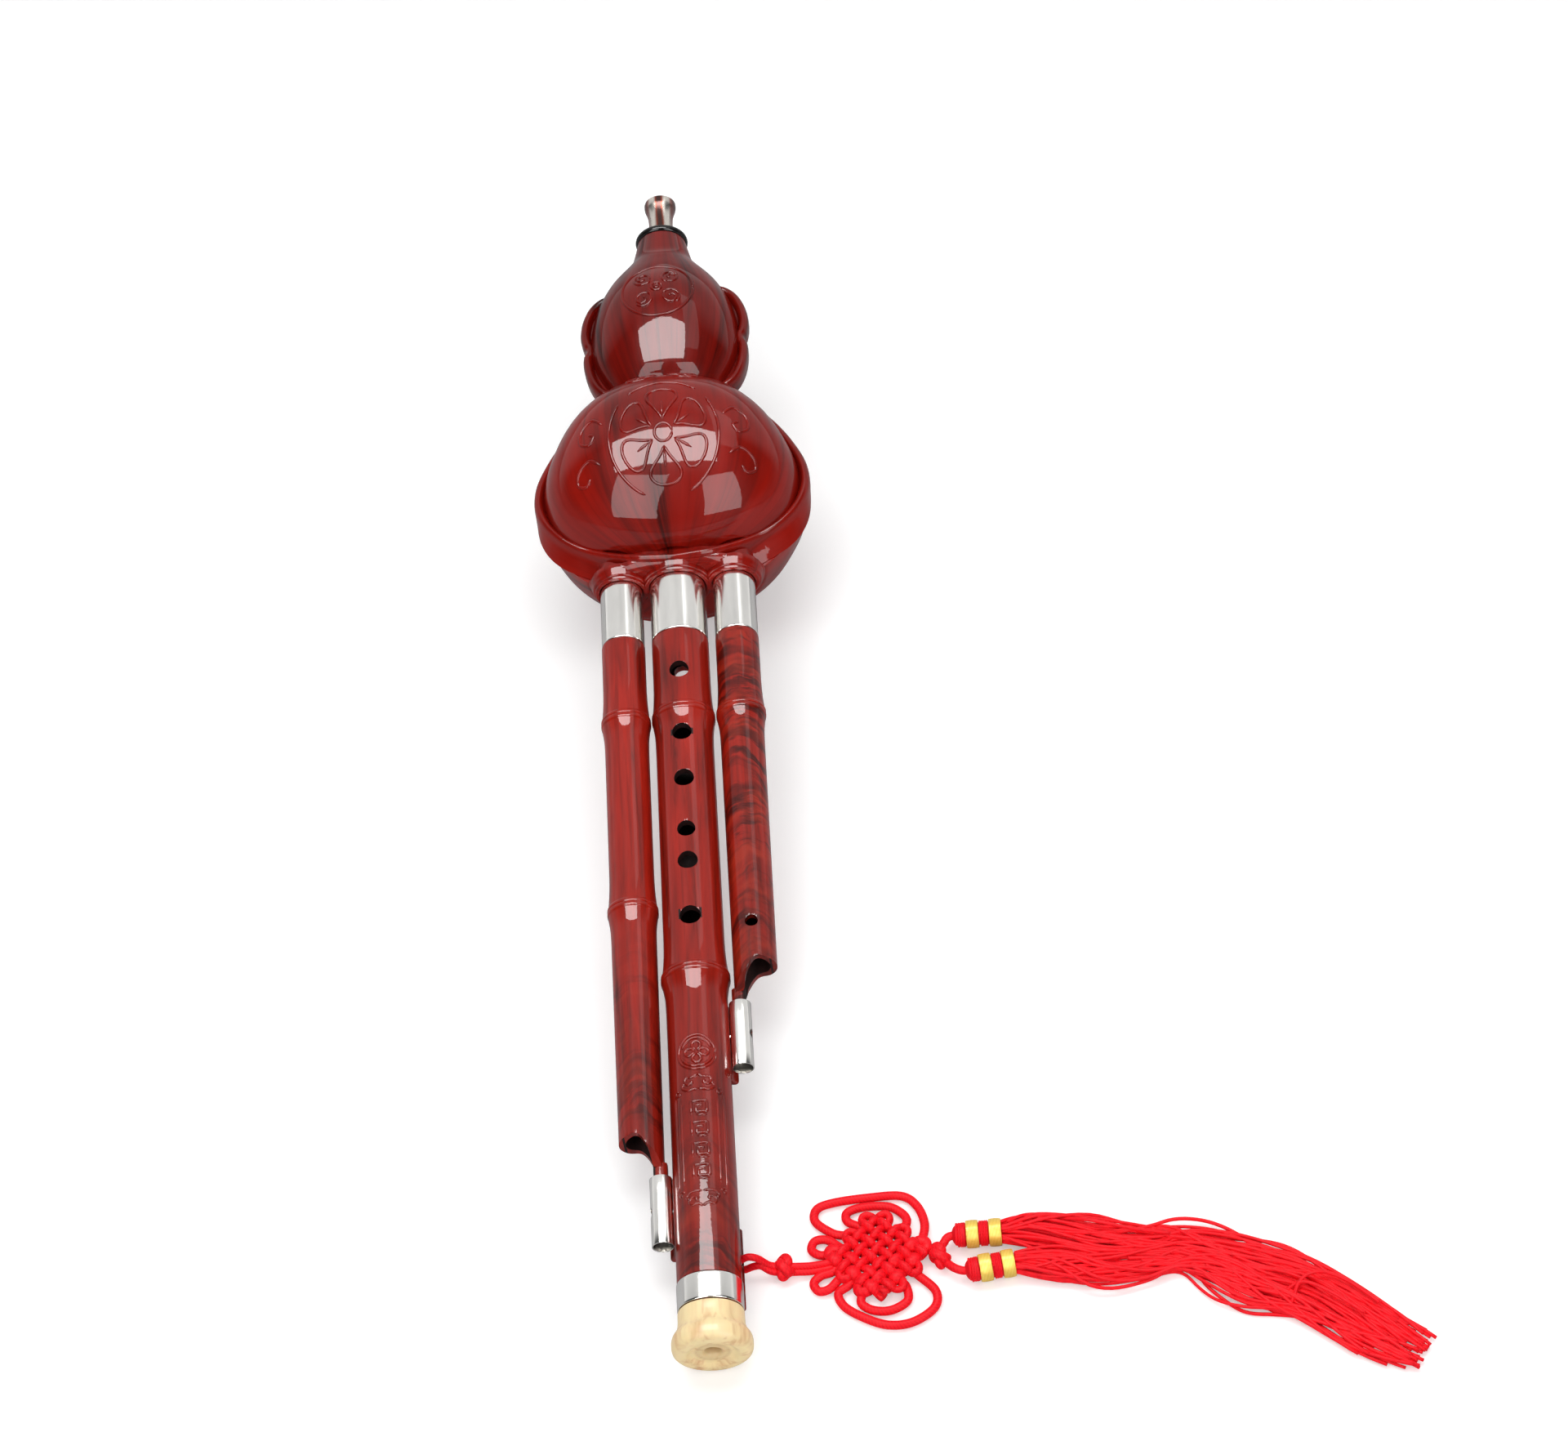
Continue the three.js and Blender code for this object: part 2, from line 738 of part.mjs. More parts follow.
// Seat plate with three collars outside and three sockets inside, each holding a seal
function pipeSeat() {
  const frontHalf = solidOf(seatPlate(seatFrontDepth));
  const backHalf = solidOf(seatPlate(seatBackDepth));
  const far = 2 * seatHalfWidth;
  const front = block([-far, 0, 0], [far, gourdTop, far]);
  const back = block([-far, 0, -far], [far, gourdTop, 0]);
  let solid = frontHalf.intersect(front).add(backHalf.intersect(back));
  const pipes = [
    { x: 0, outer: socketRadius, hole: ferruleRadius + fit, tenon: pipeTenonRadius },
    { x: -droneSpacing, outer: droneSocketRadius, hole: droneFerruleRadius + fit, tenon: droneTenonRadius },
    { x: droneSpacing, outer: droneSocketRadius, hole: droneFerruleRadius + fit, tenon: droneTenonRadius },
  ];
  for (const pipe of pipes) {
    solid = solid.add(moved(rod(pipe.outer, collarFoot, socketTop), pipe.x, 0, 0));
  }
  for (const pipe of pipes) {
    const hole = rod(pipe.hole, collarFoot - overrun, socketTop + overrun);
    const pocket = rod(pipe.tenon + 2 * fit + sealThickness, sealFoot - fit, sealFoot + sealHeight + fit);
    solid = solid.subtract(moved(hole.add(pocket), pipe.x, 0, 0));
  }
  return solid;
}

function seatPlate(depth) {
  const plate = turnedGeometry([
    [seatFoot, 0],
    [seatFoot, seatHalfWidth],
    [seatFoot + seatThickness, seatHalfWidth],
    [seatFoot + seatThickness, 0],
  ]);
  plate.scale(1, 1, depth / seatHalfWidth);
  return plate;
}

function seal(x, tenonRadius) {
  const inner = tenonRadius + fit;
  const shape = ring(inner, inner + sealThickness, sealFoot, sealFoot + sealHeight);
  return moved(shape, x, 0, 0);
}

// Gourd: turned outlines squeezed in depth, round again at the neck
function gourdProfile(lowerShares, lowerRadius, upperShares, upperRadius, wall) {
  const lower = lowerShares.map(([up, share]) => [up, share * lowerRadius]);
  const upper = upperShares.map(([up, share]) => [up, share * upperRadius]);
  const neck = neckShares.map(([up, share]) => [up, share * neckRadius]);
  const points = [...lower, ...upper, ...neck];
  const inside = points.map(([up, radius]) => [gourdFoot + up * gourdLength, radius - wall]);
  if (wall === 0) return inside;
  const kept = inside.filter(([, radius]) => radius > mouthRadius + fit);
  kept[0][0] += wall;
  return kept;
}

// Gourd front: an outline with its own depth, and fuller than an ellipse across the lower dome
function frontForm(wall) {
  const body = frontShares.map(([up, wide, deep]) => [up, wide * domeRadius, deep * domeRadius]);
  const neck = neckShares.map(([up, share]) => [up, share * neckRadius, share * neckRadius]);
  let rows = [...body, ...neck].map(([up, wide, deep]) => [
    gourdFoot + up * gourdLength,
    wide - wall,
    deep - wall,
  ]);
  if (wall > 0) {
    rows = rows.filter(([, , deep]) => deep > mouthRadius + fit);
    rows[0][0] += wall;
  }
  const last = rows[rows.length - 1];
  const outline = rows.map(([place, wide]) => [place, wide]);
  const geometry = turnedGeometry([[rows[0][0], 0], ...outline, [last[0], 0]]);
  const [low, fullLow, fullHigh, high] = fullShares.map((share) => gourdFoot + share * gourdLength);
  const position = geometry.attributes.position;
  for (let index = 0; index < position.count; index += 1) {
    const [x, y, z] = [position.getX(index), position.getY(index), position.getZ(index)];
    const radius = Math.hypot(x, z);
    if (radius > 0) {
      const row = rows.reduce((best, next) => (Math.abs(next[0] - y) < Math.abs(best[0] - y) ? next : best));
      const risen = THREE.MathUtils.smoothstep(y, low, fullLow);
      const kept = 1 - THREE.MathUtils.smoothstep(y, fullHigh, high);
      const power = 2 + domeFullness * risen * kept;
      const full = (Math.abs(x / radius) ** power + Math.abs(z / radius) ** power) ** (-1 / power);
      position.setX(index, x * full);
      position.setZ(index, (z * full * row[2]) / row[1]);
    }
  }
  return solidOf(geometry);
}

function squeezed(profile, depthShare) {
  const closed = [[profile[0][0], 0], ...profile, [profile[profile.length - 1][0], 0]];
  const geometry = turnedGeometry(closed);
  const position = geometry.attributes.position;
  const neckStart = gourdFoot + upperBackShares[upperBackShares.length - 2][0] * gourdLength;
  for (let index = 0; index < position.count; index += 1) {
    const up = THREE.MathUtils.smoothstep(position.getY(index), neckStart, gourdTop);
    const share = THREE.MathUtils.lerp(depthShare, 1, up);
    position.setZ(index, share * position.getZ(index));
  }
  return solidOf(geometry);
}

function rimPlate(shares, halfWidth) {
  const half = shares.map(([across, up]) => [
    across * halfWidth,
    gourdFoot + up * gourdLength,
  ]);
  const rightSide = half.map(([x, y]) => [Math.max(x - rimEdge, 0), y]);
  const leftSide = rightSide.filter(([x]) => x > 0).map(([x, y]) => [-x, y]).reverse();
  const geometry = extruded([...rightSide, ...leftSide], rimDepth - rimEdge, {
    bevelEnabled: true,
    bevelThickness: rimEdge,
    bevelSize: rimEdge,
    bevelSegments: 2,
  });
  return solidOf(geometry);
}

function gourdParts() {
  const far = 2 * rimHalfWidth;
  const front = block([-far, gourdFoot, seam / 2], [far, gourdTop, far]);
  const back = block([-far, gourdFoot, -far], [far, gourdTop, -seam / 2]);
  const [backOuter, backInner] = [0, gourdWall].map((wall) => (
    squeezed(gourdProfile(backShares, backRadius, upperBackShares, upperBackRadius, wall), backDepthShare)
  ));
  let holes = rod(mouthRadius + fit, gourdFoot + gourdLength / 2, gourdTop + overrun, fineSegments);
  holes = holes.add(rod(socketRadius + fit, 0, socketTop + fit));
  for (const side of [-1, 1]) {
    holes = holes.add(moved(rod(droneSocketRadius + fit, 0, socketTop + fit), side * droneSpacing, 0, 0));
  }
  const shell = (outer, inner, region, extras) => {
    let solid = outer;
    for (const extra of extras) solid = solid.add(extra);
    return solid.intersect(region).subtract(inner).subtract(holes);
  };
  const rims = [rimPlate(rimShares, rimHalfWidth), rimPlate(earShares, earHalfWidth)];
  return {
    frontShell: shell(frontForm(0), frontForm(gourdWall), front, rims),
    backShell: shell(backOuter, backInner, back, []),
  };
}

// Mouthpiece tube with a flared lip, and the collar that it stands in
function mouthpiece() {
  const foot = gourdTop - mouthTenonLength;
  const waistShare = 0.5;
  const flareShare = 0.84;
  const body = turned([
    [foot, mouthRadius],
    [gasketTop, mouthRadius],
    [gasketTop + waistShare * mouthExposedLength, mouthRadius - fit / 2],
    [gasketTop + flareShare * mouthExposedLength, mouthFlareRadius],
    [mouthTip - fit, mouthFlareRadius],
    [mouthTip, mouthFlareRadius - fit],
  ], fineSegments);
  return body.subtract(rod(mouthBoreRadius, foot - overrun, mouthTip + overrun, fineSegments));
}

// Cord pieces lie on the table, outside the instrument group
function cordTube(route, diameter) {
  const curve = new THREE.CatmullRomCurve3(route.map((point) => new THREE.Vector3(...point)));
  const shape = new THREE.Shape();
  for (let index = 0; index < cordSides; index += 1) {
    const angle = (2 * Math.PI * index) / cordSides;
    const x = (diameter / 2) * Math.cos(angle);
    const y = (diameter / 2) * Math.sin(angle);
    if (index === 0) shape.moveTo(x, y);
    else shape.lineTo(x, y);
  }
  shape.closePath();
  const steps = Math.max(leastCordSteps, Math.ceil(curve.getLength() / cordStep));
  return solidOf(new THREE.ExtrudeGeometry(shape, { steps, bevelEnabled: false, extrudePath: curve }));
}

function roundKnot([x, y]) {
  const geometry = new THREE.SphereGeometry(knotRadius, boreSegments, boreSegments / 2);
  geometry.rotateX(Math.PI / 2);
  geometry.scale(1, 1, knotHeightShare);
  geometry.translate(x, y, knotHeightShare * knotRadius);
  return solidOf(geometry);
}

function meshKnot() {
  const reach = meshKnotHalfDiagonal - meshKnotChamfer;
  const outline = [[reach, 0], [0, reach], [-reach, 0], [0, -reach]];
  const geometry = extruded(outline, meshKnotHeight - 2 * meshKnotChamfer, {
    bevelEnabled: true,
    bevelThickness: meshKnotChamfer,
    bevelSize: meshKnotChamfer / Math.SQRT2,
    bevelSegments: 2,
  });
  geometry.translate(meshKnotCentre[0], meshKnotCentre[1], meshKnotChamfer);
  return solidOf(geometry);
}

// A tassel's head lies along the table: a turned shape laid down from start to end
function laidDown(solid, tassel) {
  const [startX, startY] = tassel.start;
  const [endX, endY] = tassel.end;
  const geometry = geometryOf(solid);
  geometry.rotateZ(Math.atan2(endY - startY, endX - startX) - Math.PI / 2);
  geometry.translate(startX, startY, headRadius + tasselGap / 2);
  return solidOf(geometry);
}

const firstBandStart = headCapLength + tasselGap;
const bindingStart = firstBandStart + bandStripLength + tasselGap;
const secondBandStart = bindingStart + headBindingLength + tasselGap;
const headEnd = secondBandStart + bandStripLength;

function tasselHead() {
  const cap = capShares.map(([up, share]) => [up * headCapLength, share * headRadius]);
  return turned([
    ...cap,
    [headCapLength, headRadius],
    [headCapLength, headCoreRadius],
    [bindingStart, headCoreRadius],
    [bindingStart, headRadius],
    [bindingStart + headBindingLength, headRadius],
    [bindingStart + headBindingLength, headCoreRadius],
    [headEnd, headCoreRadius],
  ], boreSegments);
}

function goldBand(start) {
  const inner = headCoreRadius + tasselGap;
  return ring(inner, inner + goldWall, start, start + bandStripLength, boreSegments);
}

// A tassel's skirt: rings of a flattened oval, first square to the end of the head
function skirt(tassel, strands) {
  const [startX, startY] = tassel.start;
  const lean = Math.atan2(tassel.end[1] - startY, tassel.end[0] - startX);
  const reach = headEnd + tasselGap;
  const top = {
    at: [startX + reach * Math.cos(lean), startY + reach * Math.sin(lean)],
    half: skirtTopHalf,
    height: 2 * headRadius,
  };
  const stations = [top, ...strands];
  const positions = [];
  const middle = stations.length - 1;
  stations.forEach((station, index) => {
    const before = stations[Math.max(index - 1, 0)].at;
    const after = stations[Math.min(index + 1, middle)].at;
    const along = Math.atan2(after[1] - before[1], after[0] - before[0]);
    const heading = index === 0 ? lean : along;
    for (let side = 0; side < skirtSides; side += 1) {
      const angle = (2 * Math.PI * side) / skirtSides;
      const across = station.half * Math.cos(angle);
      positions.push(
        station.at[0] - across * Math.sin(heading),
        station.at[1] + across * Math.cos(heading),
        (station.height / 2) * (1 + Math.sin(angle)),
      );
    }
  });
  const faces = [];
  for (let index = 0; index < middle; index += 1) {
    for (let side = 0; side < skirtSides; side += 1) {
      const a = index * skirtSides + side;
      const b = index * skirtSides + ((side + 1) % skirtSides);
      faces.push(a, b, a + skirtSides, b, b + skirtSides, a + skirtSides);
    }
  }
  const last = middle * skirtSides;
  for (let side = 1; side < skirtSides - 1; side += 1) {
    faces.push(0, side + 1, side, last, last + side, last + side + 1);
  }
  const geometry = new THREE.BufferGeometry();
  geometry.setAttribute("position", new THREE.Float32BufferAttribute(positions, 3));
  geometry.setIndex(faces);
  return solidOf(geometry);
}

// Assembly of the instrument, upright about Y and then laid on its back
const pipeTenonTop = ferruleFoot + pipeTenonLength;
const droneTenonTop = ferruleFoot + droneTenonLength;
const instrument = new THREE.Group();
const gourd = gourdParts();

addNode(instrument, "gourd_front_shell", gourd.frontShell, gourdGloss);
addNode(instrument, "gourd_back_shell", gourd.backShell, gourdGloss);
addNode(instrument, "pipe_seat", pipeSeat(), gourdGloss);
addNode(instrument, "mouthpiece", mouthpiece(), nickel);
const gasket = ring(mouthRadius + fit, gasketRadius, gasketFoot, gasketTop);
addNode(instrument, "mouthpiece_collar", gasket, blackGloss);

addNode(instrument, "main_pipe", mainPipe(), pipeGloss);
const toneShare = 0.533;
const sideToneShare = 0.418;
const rightTone = drill(
  droneToneRadius,
  [0, placeOnPipe(toneShare), 0],
  [0, placeOnPipe(toneShare), droneTopToneDepth],
);
const leftTone = drill(
  droneSideToneRadius,
  [0, placeOnPipe(sideToneShare), 0],
  [-droneTopToneDepth, placeOnPipe(sideToneShare), 0],
);
const leftNodes = [droneLowerNodeShare, upperNodeShare];
addNode(instrument, "left_drone_pipe", dronePipe(-1, leftSleeveTop, leftNodes, leftTone), pipeGloss);
addNode(instrument, "right_drone_pipe", dronePipe(1, rightSleeveTop, [upperNodeShare], rightTone), pipeGloss);

const pipesAcross = [
  { name: "main", x: 0, tenon: pipeTenonRadius, outer: ferruleRadius, top: pipeTenonTop },
  { name: "left", x: -droneSpacing, tenon: droneTenonRadius, outer: droneFerruleRadius, top: droneTenonTop },
  { name: "right", x: droneSpacing, tenon: droneTenonRadius, outer: droneFerruleRadius, top: droneTenonTop },
];
for (const pipe of pipesAcross) {
  const ferruleTop = collarFoot + ferruleHiddenLength;
  const tube = ring(pipe.tenon + fit, pipe.outer, ferruleFoot, Math.min(ferruleTop, sealFoot - 2 * fit));
  addNode(instrument, pipe.name + "_ferrule", moved(tube, pipe.x, 0, 0), nickel);
  addNode(instrument, pipe.name + "_socket_seal", seal(pipe.x, pipe.tenon), rubber);
  addNode(instrument, pipe.name + "_reed_plate", moved(reedPlate(pipe.tenon, pipe.top), pipe.x, 0, 0), brass);
}

for (const [name, side, foot] of [["left", -1, leftSleeveFoot], ["right", 1, rightSleeveFoot]]) {
  addNode(instrument, name + "_sleeve", sleeve(side, foot), nickel);
  addNode(instrument, name + "_sleeve_screw", sleeveScrew(side, foot), nickel);
}

const band = ring(bandRadius - bandWall, bandRadius, pipeFoot, pipeFoot + bandLength);
addNode(instrument, "foot_band", band, nickel);
addNode(instrument, "end_plug", endPlug(), bone);

// The gourd's back and the plug's flange both touch the table
const flatShare = Math.cos(Math.PI / roundSegments);
const backDepth = flatShare * backDepthShare * backRadius;
const flangeDepth = flatShare * plugFlangeRadius;
const gourdRest = gourdFoot + backRestShare * gourdLength;
instrument.rotation.x = Math.atan2(backDepth - flangeDepth, gourdRest - plugEdge);
instrument.updateMatrixWorld(true);
const extent = new THREE.Box3().setFromObject(instrument, true);
const centre = extent.getCenter(new THREE.Vector3());
instrument.position.set(-centre.x, -centre.y, -extent.min.z);

// Cord, knots and tassels
const cords = new THREE.Group();
addNode(cords, "hanging_cord", cordTube(hangingRoute, pairDiameter), redCord);
addNode(cords, "first_knot", roundKnot(firstKnot), redCord);
addNode(cords, "link_cord", cordTube(linkRoute, pairDiameter), redCord);
addNode(cords, "endless_knot", meshKnot(), redCord);
addNode(cords, "upper_outer_loop", cordTube(upperOuterRoute, cordDiameter), redCord);
addNode(cords, "upper_inner_loop", cordTube(upperInnerRoute, cordDiameter), redCord);
addNode(cords, "lower_outer_loop", cordTube(lowerOuterRoute, cordDiameter), redCord);
addNode(cords, "lower_inner_loop", cordTube(lowerInnerRoute, cordDiameter), redCord);
addNode(cords, "upper_ear_loop", cordTube(upperEarRoute, cordDiameter), redCord);
addNode(cords, "lower_ear_loop", cordTube(lowerEarRoute, cordDiameter), redCord);
addNode(cords, "second_knot", roundKnot(secondKnot), redCord);
const tassels = [
  ["upper", upperTassel, upperTasselRoute, upperSkirt],
  ["lower", lowerTassel, lowerTasselRoute, lowerSkirt],
];
for (const [name, tassel, route, stations] of tassels) {
  addNode(cords, name + "_tassel_cord", cordTube(route, cordDiameter), redCord);
  addNode(cords, name + "_tassel_head", laidDown(tasselHead(), tassel), redCord);
  addNode(cords, name + "_tassel_top_band", laidDown(goldBand(firstBandStart), tassel), goldThread);
  addNode(cords, name + "_tassel_bottom_band", laidDown(goldBand(secondBandStart), tassel), goldThread);
  addNode(cords, name + "_tassel_skirt", skirt(tassel, stations), redCord);
}

const hulusi = new THREE.Group();
hulusi.add(instrument, cords);

export default hulusi;
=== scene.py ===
# Hulusi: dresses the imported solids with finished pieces, materials, lamps, floor and camera.
# Places are in millimetres in the pipes' own coordinates: X across, Y along the pipes, Z to the front.
import math
import random

import bpy
from mathutils import Matrix, Vector


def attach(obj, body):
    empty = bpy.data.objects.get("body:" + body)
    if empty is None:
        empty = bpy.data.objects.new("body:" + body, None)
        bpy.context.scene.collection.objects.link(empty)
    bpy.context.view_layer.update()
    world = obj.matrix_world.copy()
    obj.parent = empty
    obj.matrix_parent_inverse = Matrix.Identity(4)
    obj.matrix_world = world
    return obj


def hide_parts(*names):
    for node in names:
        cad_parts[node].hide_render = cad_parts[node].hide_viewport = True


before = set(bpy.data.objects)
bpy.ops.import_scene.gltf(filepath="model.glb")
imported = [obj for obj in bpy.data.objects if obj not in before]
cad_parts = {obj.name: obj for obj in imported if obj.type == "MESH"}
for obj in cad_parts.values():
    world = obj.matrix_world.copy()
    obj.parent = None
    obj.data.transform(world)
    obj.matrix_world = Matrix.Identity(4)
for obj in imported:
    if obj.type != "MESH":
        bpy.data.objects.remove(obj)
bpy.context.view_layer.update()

bl_info = {
    "name": "Hulusi",
    "version": (1, 0, 0),
    "blender": (4, 5, 0),
    "location": "3D View > Sidebar > Hulusi",
    "description": "Builds the finished pieces of a hulusi on its packed solids",
    "category": "Object",
}

MM = 0.001
TILT = math.radians(5.416477)
REST = Vector((0, -0.237873967, 0.01265075))
LAID = Matrix.Translation(REST) @ Matrix.Rotation(TILT, 4, "X")


def colour(code):
    """Linear colour of a hexadecimal one."""
    parts = [int(code[place:place + 2], 16) / 255 for place in (0, 2, 4)]
    return [part / 12.92 if part <= 0.04045 else ((part + 0.055) / 1.055) ** 2.4 for part in parts]


def tint(name, code):
    return bpy.props.FloatVectorProperty(
        name=name, description=name + " of the finish", subtype="COLOR", size=3, min=0, max=1, default=colour(code)
    )


def length(name, description, millimetres):
    return bpy.props.FloatProperty(
        name=name, description=description, default=millimetres * MM, min=0, unit="LENGTH", subtype="DISTANCE",
        precision=5,
    )


class HulusiSizes(bpy.types.PropertyGroup):
    edge: length("Hole edge", "Width of the rounded edge of holes and cuts", 0.3)
    relief: length("Relief", "Thickness of the raised lines", 0.8)
    bead: length("Bead", "Width of the rounded bead round the gourd's front", 3.6)
    cord: length("Cord", "Thickness of the red cord", 2.5)
    strand: length("Strand", "Thickness of a tassel's strands", 1.2)
    strands: bpy.props.IntProperty(name="Strands", description="Strands in each tassel", default=46, min=8, max=120)


class HulusiColours(bpy.types.PropertyGroup):
    gourd: tint("Gourd red", "851107")
    gourd_dark: tint("Gourd streaks", "4d0b06")
    pipe: tint("Pipe red", "9a1d10")
    pipe_dark: tint("Pipe streaks", "6f160c")
    cord: tint("Cord red", "ff1a28")
    gold: tint("Gold thread", "ffd23e")
    nickel: tint("Nickel", "f2f0ec")
    bone: tint("Bone", "f8e0ac")
    bone_dark: tint("Bone streaks", "b9692c")


def sizes():
    return bpy.context.scene.hulusi_sizes


def colours():
    return bpy.context.scene.hulusi_colours


# Outlines


def smooth(points, steps):
    """Points of a smooth curve through the given ones."""
    result = []
    last = len(points) - 1
    for index in range(last):
        group = [points[max(index - 1, 0)], points[index], points[index + 1], points[min(index + 2, last)]]
        for step in range(steps):
            t = step / steps
            result.append(tuple(
                0.5 * (2 * b + (c - a) * t + (2 * a - 5 * b + 4 * c - d) * t ** 2 + (3 * b - a - 3 * c + d) * t ** 3)
                for a, b, c, d in zip(*group)
            ))
    result.append(tuple(points[-1]))
    return result


def rounded(points, radius, steps=4):
    """The outline with its inner corners rounded."""
    result = [tuple(points[0])]
    for before, corner, after in zip(points, points[1:], points[2:]):
        middle = Vector(corner)
        back = Vector(before) - middle
        on = Vector(after) - middle
        reach = min(radius, back.length * 0.49, on.length * 0.49)
        start = middle + back.normalized() * reach
        end = middle + on.normalized() * reach
        for step in range(steps + 1):
            t = step / steps
            result.append(tuple(start * (1 - t) ** 2 + middle * 2 * t * (1 - t) + end * t ** 2))
    result.append(tuple(points[-1]))
    return result


def ringed(outline, spacing):
    """The outline with long stretches divided."""
    result = [tuple(outline[0])]
    for before, after in zip(outline, outline[1:]):
        count = max(1, math.ceil(math.dist(before, after) / spacing))
        for step in range(1, count + 1):
            result.append(tuple(a + (b - a) * step / count for a, b in zip(before, after)))
    return result


# Modelling steps


def activate(*pieces):
    if bpy.context.object and bpy.context.object.mode != "OBJECT":
        bpy.ops.object.mode_set(mode="OBJECT")
    bpy.ops.object.select_all(action="DESELECT")
    for piece in pieces:
        piece.select_set(True)
    if pieces:
        bpy.context.view_layer.objects.active = pieces[0]


def edit(piece, select="SELECT"):
    activate(piece)
    bpy.ops.object.mode_set(mode="EDIT")
    bpy.ops.mesh.select_all(action=select)


def leave_edit():
    bpy.ops.object.mode_set(mode="OBJECT")


def chain(name, points):
    """A vertex, extruded from point to point."""
    activate()
    bpy.ops.mesh.primitive_plane_add(size=MM)
    piece = bpy.context.object
    piece.name = name
    edit(piece)
    bpy.ops.mesh.merge(type="CENTER")
    bpy.ops.transform.translate(value=[part * MM for part in points[0]])
    for before, after in zip(points, points[1:]):
        step = [(b - a) * MM for a, b in zip(before, after)]
        bpy.ops.mesh.extrude_vertices_move(TRANSFORM_OT_translate={"value": step})
    bpy.ops.mesh.select_all(action="SELECT")
    return piece


def turned(name, outline, steps=64):
    """Spins an outline of [place along Y, radius] about Y."""
    piece = chain(name, [(radius, place, 0) for place, radius in outline])
    bpy.ops.mesh.spin(steps=steps, angle=2 * math.pi, center=(0, 0, 0), axis=(0, 1, 0))
    bpy.ops.mesh.select_all(action="SELECT")
    bpy.ops.mesh.remove_doubles(threshold=MM / 500)
    bpy.ops.mesh.normals_make_consistent(inside=False)
    leave_edit()
    return piece


def slab(name, outline, low, high):
    """A closed outline in X and Y, filled and extruded along Z."""
    piece = chain(name, [(x, y, low) for x, y in outline])
    bpy.ops.mesh.edge_face_add()
    bpy.ops.mesh.extrude_region_move(TRANSFORM_OT_translate={"value": (0, 0, (high - low) * MM)})
    bpy.ops.mesh.select_all(action="SELECT")
    bpy.ops.mesh.normals_make_consistent(inside=False)
    leave_edit()
    return piece


def rod(radius, start, end, vertices=40):
    start, end = Vector(start) * MM, Vector(end) * MM
    reach = end - start
    activate()
    turn = reach.to_track_quat("Z", "Y").to_euler()
    bpy.ops.mesh.primitive_cylinder_add(
        vertices=vertices, radius=radius * MM, depth=reach.length, location=(start + end) / 2, rotation=turn
    )
    return bpy.context.object


def block(low, high):
    low, high = Vector(low) * MM, Vector(high) * MM
    activate()
    bpy.ops.mesh.primitive_cube_add(size=1, location=(low + high) / 2)
    piece = bpy.context.object
    piece.scale = high - low
    bpy.ops.object.transform_apply(location=True, rotation=True, scale=True)
    return piece


def combine(piece, other, operation="DIFFERENCE"):
    activate(piece)
    modifier = piece.modifiers.new("combine", "BOOLEAN")
    modifier.operation = operation
    modifier.solver = "EXACT"
    modifier.object = other
    bpy.ops.object.modifier_apply(modifier="combine")
    bpy.data.objects.remove(other)
    return piece


def soften(piece, width, angle=38, segments=2):
    activate(piece)
    modifier = piece.modifiers.new("soften", "BEVEL")
    modifier.width = width
    modifier.segments = segments
    modifier.limit_method = "ANGLE"
    modifier.angle_limit = math.radians(angle)
    modifier.use_clamp_overlap = True
    bpy.ops.object.modifier_apply(modifier="soften")
    return piece


def halved(piece, front, gap=0.15):
    """Cuts the piece at the seam and keeps its front or its back."""
    edit(piece)
    side = 1 if front else -1
    bpy.ops.mesh.bisect(
        plane_co=(0, 0, side * gap * MM), plane_no=(0, 0, side), clear_inner=True, clear_outer=False
    )
    leave_edit()
    return piece


def finished(piece, name, body, finish, stands_for=(), laid=True, angle=35, even=False):
    piece.name = name
    activate(piece)
    if laid:
        piece.matrix_world = LAID @ piece.matrix_world
    bpy.ops.object.transform_apply(location=True, rotation=True, scale=True)
    if angle:
        bpy.ops.object.shade_smooth_by_angle(angle=math.radians(angle))
    else:
        bpy.ops.object.shade_smooth()
    if even:
        modifier = piece.modifiers.new("even", "WEIGHTED_NORMAL")
        modifier.keep_sharp = True
        modifier.weight = 80
        bpy.ops.object.modifier_apply(modifier="even")
    piece.data.materials.clear()
    piece.data.materials.append(finish)
    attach(piece, body)
    if stands_for:
        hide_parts(*stands_for)
    return piece


